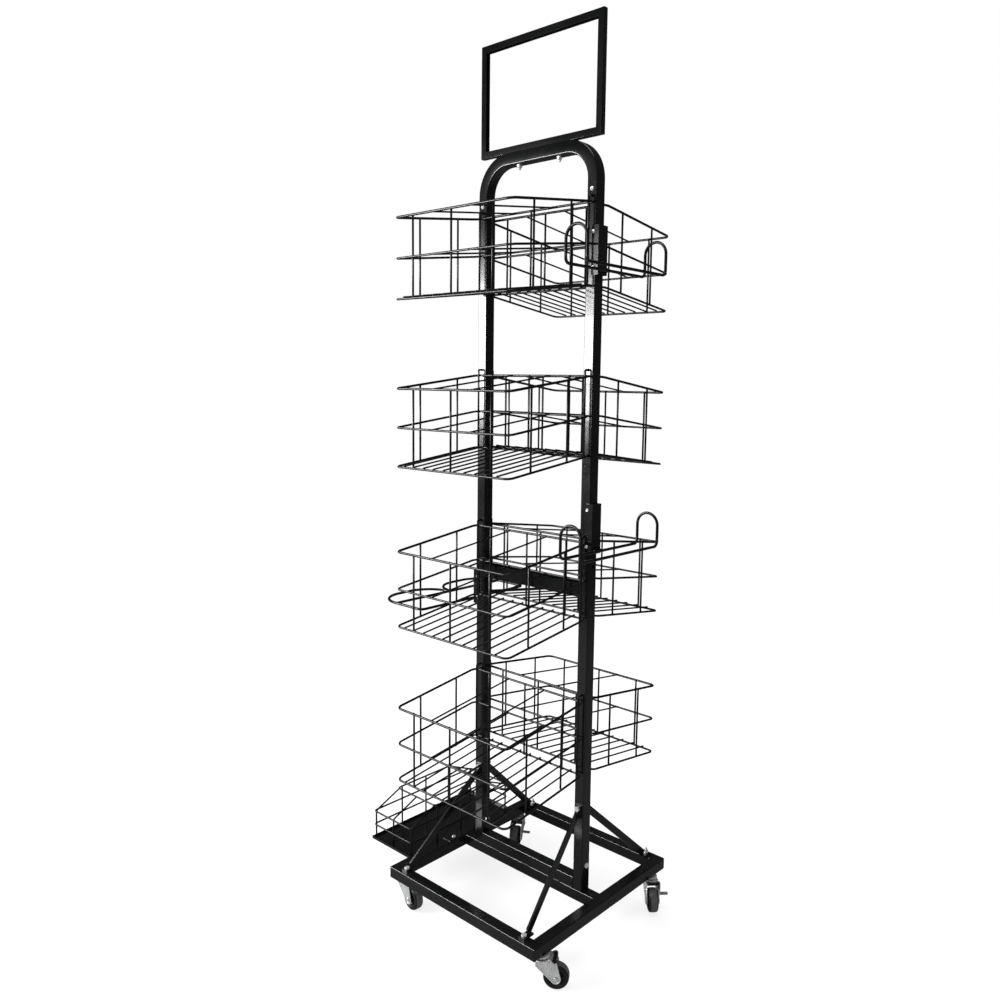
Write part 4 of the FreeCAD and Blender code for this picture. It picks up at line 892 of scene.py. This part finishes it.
def lever_outline():
    """Side lever round the brake rivet, the foot tab and the bar, as (trail, height) points."""
    outline = []
    corners = (BRAKE_PIN, LEVER_FOOT, BRAKE_BAR)
    for i, centre in enumerate(corners):
        before, after = corners[i - 1], corners[(i + 1) % len(corners)]
        start = math.degrees(math.atan2(centre[1] - before[1], centre[0] - before[0])) - 90
        end = math.degrees(math.atan2(after[1] - centre[1], after[0] - centre[0])) - 90
        outline += arc_points(centre, LEVER_RADIUS, start, start + (end - start) % 360, 8)
    return outline


def lever_mesh():
    """Pressed brake lever with a ribbed foot tab standing out at its end."""
    bm = bmesh.new()
    middle = (LEVER_INNER_Y + LEVER_OUTER_Y) / 2
    add_prism(bm, lever_outline(), LEVER_OUTER_Y - LEVER_INNER_Y, across_axle(middle), 0.5 * MM)
    x = LEVER_FOOT[0]
    low = LEVER_FOOT[1] - LEVER_RADIUS
    corner = 2.0 * MM
    tab = [(x - TAB_HALF_WIDTH, LEVER_INNER_Y), (x + TAB_HALF_WIDTH, LEVER_INNER_Y)]
    tab += arc_points((x + TAB_HALF_WIDTH - corner, TAB_OUTER_Y - corner), corner, 0, 90, 5)
    tab += arc_points((x - TAB_HALF_WIDTH + corner, TAB_OUTER_Y - corner), corner, 90, 180, 5)
    add_prism(bm, tab, TAB_SHEET, at_height(low + TAB_SHEET / 2), 0.6 * MM)
    rib_x = TAB_HALF_WIDTH - 1.5 * MM
    rib_y = 0.8 * MM
    for k in range(3):
        y = TAB_OUTER_Y - (3.5 + 4.0 * k) * MM
        rib = rectangle(x - rib_x, x + rib_x, y - rib_y, y + rib_y)
        add_prism(bm, rib, 1.2 * MM, at_height(low + TAB_SHEET), 0.4 * MM)
    return finished_mesh(bm, "caster_pedal")


def brake_bar_mesh():
    """Round bar over the tread, its free end rounded."""
    bm = bmesh.new()
    radius = BRAKE_BAR_RADIUS
    start, end = BAR_FREE_END_Y, LEVER_OUTER_Y + 0.2 * MM
    profile = [(0.0, start), (radius - 1.0 * MM, start), (radius, start + 1.0 * MM),
               (radius, end - 0.6 * MM), (radius - 0.6 * MM, end), (0.0, end)]
    add_turned(bm, profile, along_axle(*BRAKE_BAR), 28)
    return finished_mesh(bm, "caster_brake_bar")


def stem_mesh(base_bottom):
    """Hex flange, upper race with a rolled rim, kingpin and its riveted head."""
    bm = bmesh.new()
    head_top = FORK_PLATE_BOTTOM - FIT_GAP
    stem_top = base_bottom + STEM_RISE
    rim = RACE_RADIUS
    shape = [(0.0, stem_top), (STEM_RADIUS - 0.6 * MM, stem_top), (STEM_RADIUS, stem_top - 0.8 * MM),
             (STEM_RADIUS, RACE_TOP), (rim - 3.4 * MM, RACE_TOP), (rim - 1.0 * MM, RACE_TOP - 0.5 * MM),
             (rim, RACE_TOP - 1.3 * MM), (rim, RACE_BOTTOM + 0.5 * MM), (rim - 0.5 * MM, RACE_BOTTOM),
             (KINGPIN_RADIUS, RACE_BOTTOM), (KINGPIN_RADIUS, head_top), (KINGPIN_HEAD_RADIUS, head_top),
             (KINGPIN_HEAD_RADIUS, head_top - 1.3 * MM), (5.6 * MM, KINGPIN_BOTTOM + 0.6 * MM),
             (2.5 * MM, KINGPIN_BOTTOM), (0.0, KINGPIN_BOTTOM)]
    add_turned(bm, list(reversed(shape)), Matrix(), 48)
    add_hex(bm, at_height(RACE_TOP), STEM_ACROSS_FLATS, base_bottom - RACE_TOP, STEM_RADIUS - FIT_GAP)
    return finished_mesh(bm, "caster_stem")


def build_casters():
    """Four casters that share their meshes, each turned to its own trail direction."""
    shapes = (
        ("fork", "fork", fork_mesh(), ZINC, "caster_", "zinc"),
        ("pins", "pins", pins_mesh(), ZINC, "caster_", "zinc"),
        ("hub", "hub", hub_mesh(), NYLON, "wheel_", "black_plastic"),
        ("tyre", "tyre", tyre_mesh(), RUBBER, "wheel_", "black_rubber"),
        ("pedal", "pedal", lever_mesh(), DARK_ZINC, "brake_", "zinc"),
        ("brake_bar", "pedal", brake_bar_mesh(), BRAKE_BLACK, "brake_", "zinc"),
    )
    stem = stem_mesh(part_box("post_left")[0].z - TUBE)
    joints = {joint["name"]: joint for joint in frame["joints"]}
    for corner in CASTER_CORNERS:
        axle = joints["roll_" + corner]["axis"]
        turn = math.atan2(-axle[0], axle[1])
        x, y, _ = joints["swivel_" + corner]["pos_m"]
        name = "caster_%s_" % corner
        place = (x, y, 0)
        for kind, node, mesh, material, body, slot in shapes:
            piece("part_" + name + kind, mesh, material, [name + node], body + corner, place, turn)
        piece("part_" + name + "stem", stem, ZINC, ["caster_stems"], "rack", place, turn)


# ---- arch, sign and fasteners

def add_tube(bm, path, size):
    """Square tube along a path, its ends drawn in a little where the sawn edge is broken."""
    half = size / 2 - TUBE_CORNER
    section = []
    for start, u, v in ((0, half, half), (90, -half, half), (180, -half, -half), (270, half, -half)):
        section += arc_points((u, v), TUBE_CORNER, start, start + 90, 4)
    path = with_chamfers([Vector(p) for p in path], TUBE_CHAMFER)
    drawn_in = 1 - 2 * TUBE_CHAMFER / size
    shares = [drawn_in] + [1.0] * (len(path) - 2) + [drawn_in]
    rings = []
    for point, share, (u, v) in zip(path, shares, path_frames(path, False)):
        rings.append([bm.verts.new(point + (u * a + v * b) * share) for a, b in section])
    skin(bm, rings, closed=False)


def build_arch():
    """Bent tube over the posts, with the spigots just showing at the joints."""
    low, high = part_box("arch_tube")
    x, top_z = high.x - TUBE / 2, high.z - TUBE / 2
    joint_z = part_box("post_left")[1].z
    end_z = joint_z + JOINT_GAP
    corners = [(-x, 0, end_z), (-x, 0, top_z), (x, 0, top_z), (x, 0, end_z)]
    bm = bmesh.new()
    add_tube(bm, rounded_path(corners, ARCH_BEND, steps=24), TUBE)
    for side in (-1, 1):
        add_tube(bm, [(side * x, 0, low.z + 1 * MM), (side * x, 0, joint_z + 2 * JOINT_GAP)], SLEEVE)
    piece("tube_arch", finished_mesh(bm, "arch"), BLACK, ["arch_tube"])


def build_sign_frame():
    """Folded channel ring, open towards the middle, mitred at the corners."""
    low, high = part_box("sign_frame")
    depth, inner, lip = high.y, high.y - SIGN_SHEET, SIGN_FACE
    fold = 1.4 * MM
    front = [(depth - fold + y, fold - inset) for y, inset in arc_points((0, 0), fold, 0, 90, 5)]
    back = [(-y, inset) for y, inset in reversed(front)]
    edge = 0.3 * MM
    section = [(depth, lip - edge)] + front + back + [(-depth, lip - edge), (-depth + edge, lip)]
    section += [(-inner, lip), (-inner, SIGN_SHEET), (inner, SIGN_SHEET), (inner, lip), (depth - edge, lip)]
    bm = bmesh.new()
    rings = []
    for side_x, corner_z, inward in ((-1, low.z, 1), (1, low.z, 1), (1, high.z, -1), (-1, high.z, -1)):
        ring = [(side_x * (high.x - inset), y, corner_z + inward * inset) for y, inset in section]
        rings.append([bm.verts.new(point) for point in ring])
    skin(bm, rings, closed=True)
    piece("channel_sign_frame", finished_mesh(bm, "sign_frame"), BLACK, ["sign_frame"])


def facing(seat, axis):
    """Place at a seat with local +Z along the axis."""
    return Matrix.Translation(seat) @ Vector(axis).to_track_quat("Z", "Y").to_matrix().to_4x4()


def add_m6_head(bm, seat, axis):
    """Hex head on its seat."""
    add_hex(bm, facing(seat, axis), M6_ACROSS_FLATS, M6_HEAD)


def add_m6_nut(bm, seat, axis, tail):
    """Nut on its seat with the end of the screw standing out."""
    place = facing(seat, axis)
    add_hex(bm, place, M6_ACROSS_FLATS, M6_NUT, bore=M6_RADIUS + FIT_GAP)
    add_thread_end(bm, place, M6_RADIUS, M6_NUT + tail)


# Pan head from its seat to the bottom of its recess, as shares of its radius and height
PAN_PROFILE = ((0, 0), (0.97, 0), (1, 0.15), (0.95, 0.45), (0.8, 0.8), (0.55, 1), (0.34, 0.97),
               (0.26, 0.5), (0, 0.45))


def add_pan_head(bm, seat, axis, size=PAN_SIZE):
    """Pan head with a round recess."""
    rim, height = size * 0.92, size * 0.55
    profile = [(rim * across, height * up) for across, up in PAN_PROFILE]
    add_turned(bm, profile, facing(seat, axis), 32)


def middle_z(node):
    low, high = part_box(node)
    return (low.z + high.z) / 2


def build_fasteners():
    """Every visible bolt head, nut, screw head and thread end."""
    shapes = collections.defaultdict(bmesh.new)
    post_low, post_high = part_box("post_right")
    bolt_z = middle_z("post_bolts")
    foot_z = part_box("brace_front_right")[0].z + BRACE_THICKNESS
    head_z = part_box("brace_bolts")[1].z - M6_ACROSS_FLATS / 2
    brace_y = post_high.y + BRACE_THICKNESS
    sign_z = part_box("sign_frame")[0].z
    screw_z = middle_z("arch_screws")
    for side in (-1, 1):
        add_m6_head(shapes["post_bolts"], (side * post_high.x, 0, bolt_z), (side, 0, 0))
        add_m6_nut(shapes["post_nuts"], (side * post_low.x, 0, bolt_z), (-side, 0, 0), SHORT_TAIL)
        foot_x, post_x, sign_x = side * BRACE_FOOT_X, side * POST_X, side * SIGN_BOLT_X
        add_m6_head(shapes["brace_bolts"], (foot_x, -BRACE_FOOT_Y, foot_z), (0, 0, 1))
        add_m6_nut(shapes["brace_nuts"], (foot_x, BRACE_FOOT_Y, foot_z), (0, 0, 1), FOOT_TAIL)
        add_m6_head(shapes["brace_bolts"], (post_x, -brace_y, head_z), (0, -1, 0))
        add_m6_nut(shapes["brace_nuts"], (post_x, brace_y, head_z), (0, 1, 0), SHORT_TAIL)
        add_pan_head(shapes["sign_bolts"], (sign_x, 0, sign_z + SIGN_SHEET), (0, 0, 1))
        add_m6_nut(shapes["sign_nuts"], (sign_x, 0, sign_z - TUBE), (0, 0, -1), SIGN_TAIL)
        add_pan_head(shapes["arch_screws"], (post_x, -post_high.y, screw_z), (0, -1, 0))
        for rise in BAR_SCREW_RISE:
            seat = (side * (post_low.x - BAR_SHEET), 0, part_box("crossbar")[0].z + rise)
            add_pan_head(shapes["crossbar_screws"], seat, (-side, 0, 0))

    seat_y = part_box("umbrella_bracket")[1].y
    for node, side in (("umbrella_bracket", -1), ("rail_bracket_upper", 1), ("rail_bracket_lower", 1)):
        low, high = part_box(node)
        for z in (low.z + BRACKET_SCREW_INSET[0], high.z - BRACKET_SCREW_INSET[1]):
            for face in (-1, 1):
                seat = (side * BRACKET_SCREW_X, face * seat_y, z)
                add_pan_head(shapes["bracket_screws"], seat, (0, face, 0), SMALL_PAN_SIZE)
    tray_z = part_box("drip_tray")[1].z
    for y in (-TRAY_SCREW_Y, TRAY_SCREW_Y):
        add_pan_head(shapes["tray_screws"], (TRAY_SCREW_X, y, tray_z), (0, 0, 1))
    for node, bm in shapes.items():
        piece("screws_" + node, finished_mesh(bm, node, 30), ZINC, [node])


def add_bead(bm, start, end, radius):
    """Weld bead with the ripples of a hand weld."""
    start, end = Vector(start), Vector(end)
    steps = max(6, int((end - start).length / BEAD_RIPPLE))
    path = [start.lerp(end, i / steps) for i in range(steps + 1)]
    rings = []
    for i, (point, (u, v)) in enumerate(zip(path, path_frames(path, False))):
        taper = min(1.0, 6 * i / steps + 0.3, 6 * (1 - i / steps) + 0.3)
        ripple = 1 + 0.10 * math.sin(i * 2.1) + 0.05 * math.sin(i * 0.77)
        rings.append(cross_ring(bm, point, u, v, radius * taper * ripple, BEAD_SIDES))
    skin(bm, rings, closed=False)


def build_weld_beads():
    """Fillet welds where the centre member meets the side rails, and stitches along it."""
    low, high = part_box("base_frame")
    top_z = low.z + TUBE
    bm = bmesh.new()
    for side_x in (-1, 1):
        for side_y in (-1, 1):
            corner = (side_x * (high.x - TUBE), side_y * TUBE / 2)
            add_bead(bm, (*corner, low.z + 1.5 * MM), (*corner, top_z - 1.5 * MM), BEAD_RADIUS)
    for side_y in (-1, 1):
        y = side_y * (TUBE / 2 - 0.4 * MM)
        for middle in STITCH_X:
            start, end = middle - STITCH_HALF_LENGTH, middle + STITCH_HALF_LENGTH
            add_bead(bm, (start, y, top_z), (end, y, top_z), STITCH_RADIUS)
    piece("weld_beads", finished_mesh(bm, "weld_beads", 60), BLACK, [])


# ---- camera and light

# Camera of the view: place above the floor, heading from +Y towards -X, tilt and roll
CAMERA_PLACE = (1.2200, -1.3568, 1.1540)
CAMERA_YAW = math.radians(40.675)
CAMERA_PITCH = math.radians(-6.937)
CAMERA_ROLL = math.radians(0.996)
CAMERA_LENS_MM = 31.20
SENSOR_MM = 36.0
CAMERA_SHIFT = (-0.0538, -0.0082)

# Soft boxes: place, point they face, width and height, power, whether glossy paint mirrors them
LIGHTS = {
    "key": ((-1.70, -2.00, 1.33), (0, 0, 1.22), (1.5, 0.66), 100, True),
    "top": ((0.3, -0.5, 3.4), (0, 0, 1.0), (1.2, 1.2), 22, True),
    "rear": ((-1.9, 2.4, 2.4), (0, 0, 1.0), (0.9, 1.4), 25, False),
}
SURROUND_SEEN = 1.0  # what the camera sees past the floor
SURROUND_FILL = 0.85  # light the surroundings throw on matt surfaces
SURROUND_MIRRORED = 0.05  # how bright they look in glossy paint


def build_camera():
    data = bpy.data.cameras.new("camera")
    data.sensor_width = SENSOR_MM
    data.lens = CAMERA_LENS_MM
    data.shift_x, data.shift_y = CAMERA_SHIFT
    camera = new_object("camera", data)
    heading = Matrix.Rotation(CAMERA_YAW, 4, "Z") @ Matrix.Rotation(math.pi / 2 + CAMERA_PITCH, 4, "X")
    camera.matrix_world = Matrix.Translation(CAMERA_PLACE) @ heading @ Matrix.Rotation(CAMERA_ROLL, 4, "Z")
    bpy.context.scene.camera = camera


def area_light(name, place, target, size, power, mirrored_in_paint):
    data = bpy.data.lights.new(name, "AREA")
    data.shape = "RECTANGLE"
    data.size, data.size_y = size
    data.energy = power
    light = new_object(name, data)
    heading = (Vector(target) - Vector(place)).to_track_quat("-Z", "Y").to_matrix().to_4x4()
    light.matrix_world = Matrix.Translation(place) @ heading
    light.visible_glossy = mirrored_in_paint


def build_floor():
    """Round floor that melts into the backdrop."""
    bm = bmesh.new()
    bmesh.ops.create_circle(bm, cap_ends=True, segments=96, radius=FLOOR_FADE[1])
    mesh = bpy.data.meshes.new("studio_floor")
    bm.to_mesh(mesh)
    bm.free()
    mesh.materials.append(floor_finish("studio_floor"))
    new_object("studio_floor", mesh)


def build_surroundings():
    """Even white backdrop that lights matt surfaces and stays dim in glossy ones."""
    world = bpy.data.worlds.new("studio")
    world.cycles.sampling_method = "NONE"
    n = Nodes(world, "ShaderNodeBackground", "ShaderNodeOutputWorld")
    rays = n.add("ShaderNodeLightPath").outputs
    level = n.mix(rays["Is Glossy Ray"], (SURROUND_FILL,) * 3, (SURROUND_MIRRORED,) * 3)
    level = n.mix(rays["Is Camera Ray"], level, (SURROUND_SEEN,) * 3)
    bpy.context.scene.world = n.finish(Color=level)


# ---- all together

def finish_carried_nodes():
    """Procedural finish for every CAD node that stays on show."""
    finishes = {"black_powder_coat": BLACK, "zinc": ZINC, "black_rubber": RUBBER, "black_plastic": NYLON}
    for part in frame["record"]["subparts"]:
        node = frame["nodes"][part["node"]]
        finish = STEEL if part["node"] == "caster_balls" else finishes[part["material_slot"]]
        node.data.materials.clear()
        node.data.materials.append(finish)


bpy.context.scene.view_settings.view_transform = "Standard"
finish_carried_nodes()
build_baskets()
build_hanger("rail_hanger_upper")
build_hanger("rail_hanger_lower")
build_umbrella_ring()
build_guard()
build_casters()
build_arch()
build_sign_frame()
build_fasteners()
build_weld_beads()
build_floor()
build_surroundings()
for light_name, settings in LIGHTS.items():
    area_light(light_name, *settings)
build_camera()
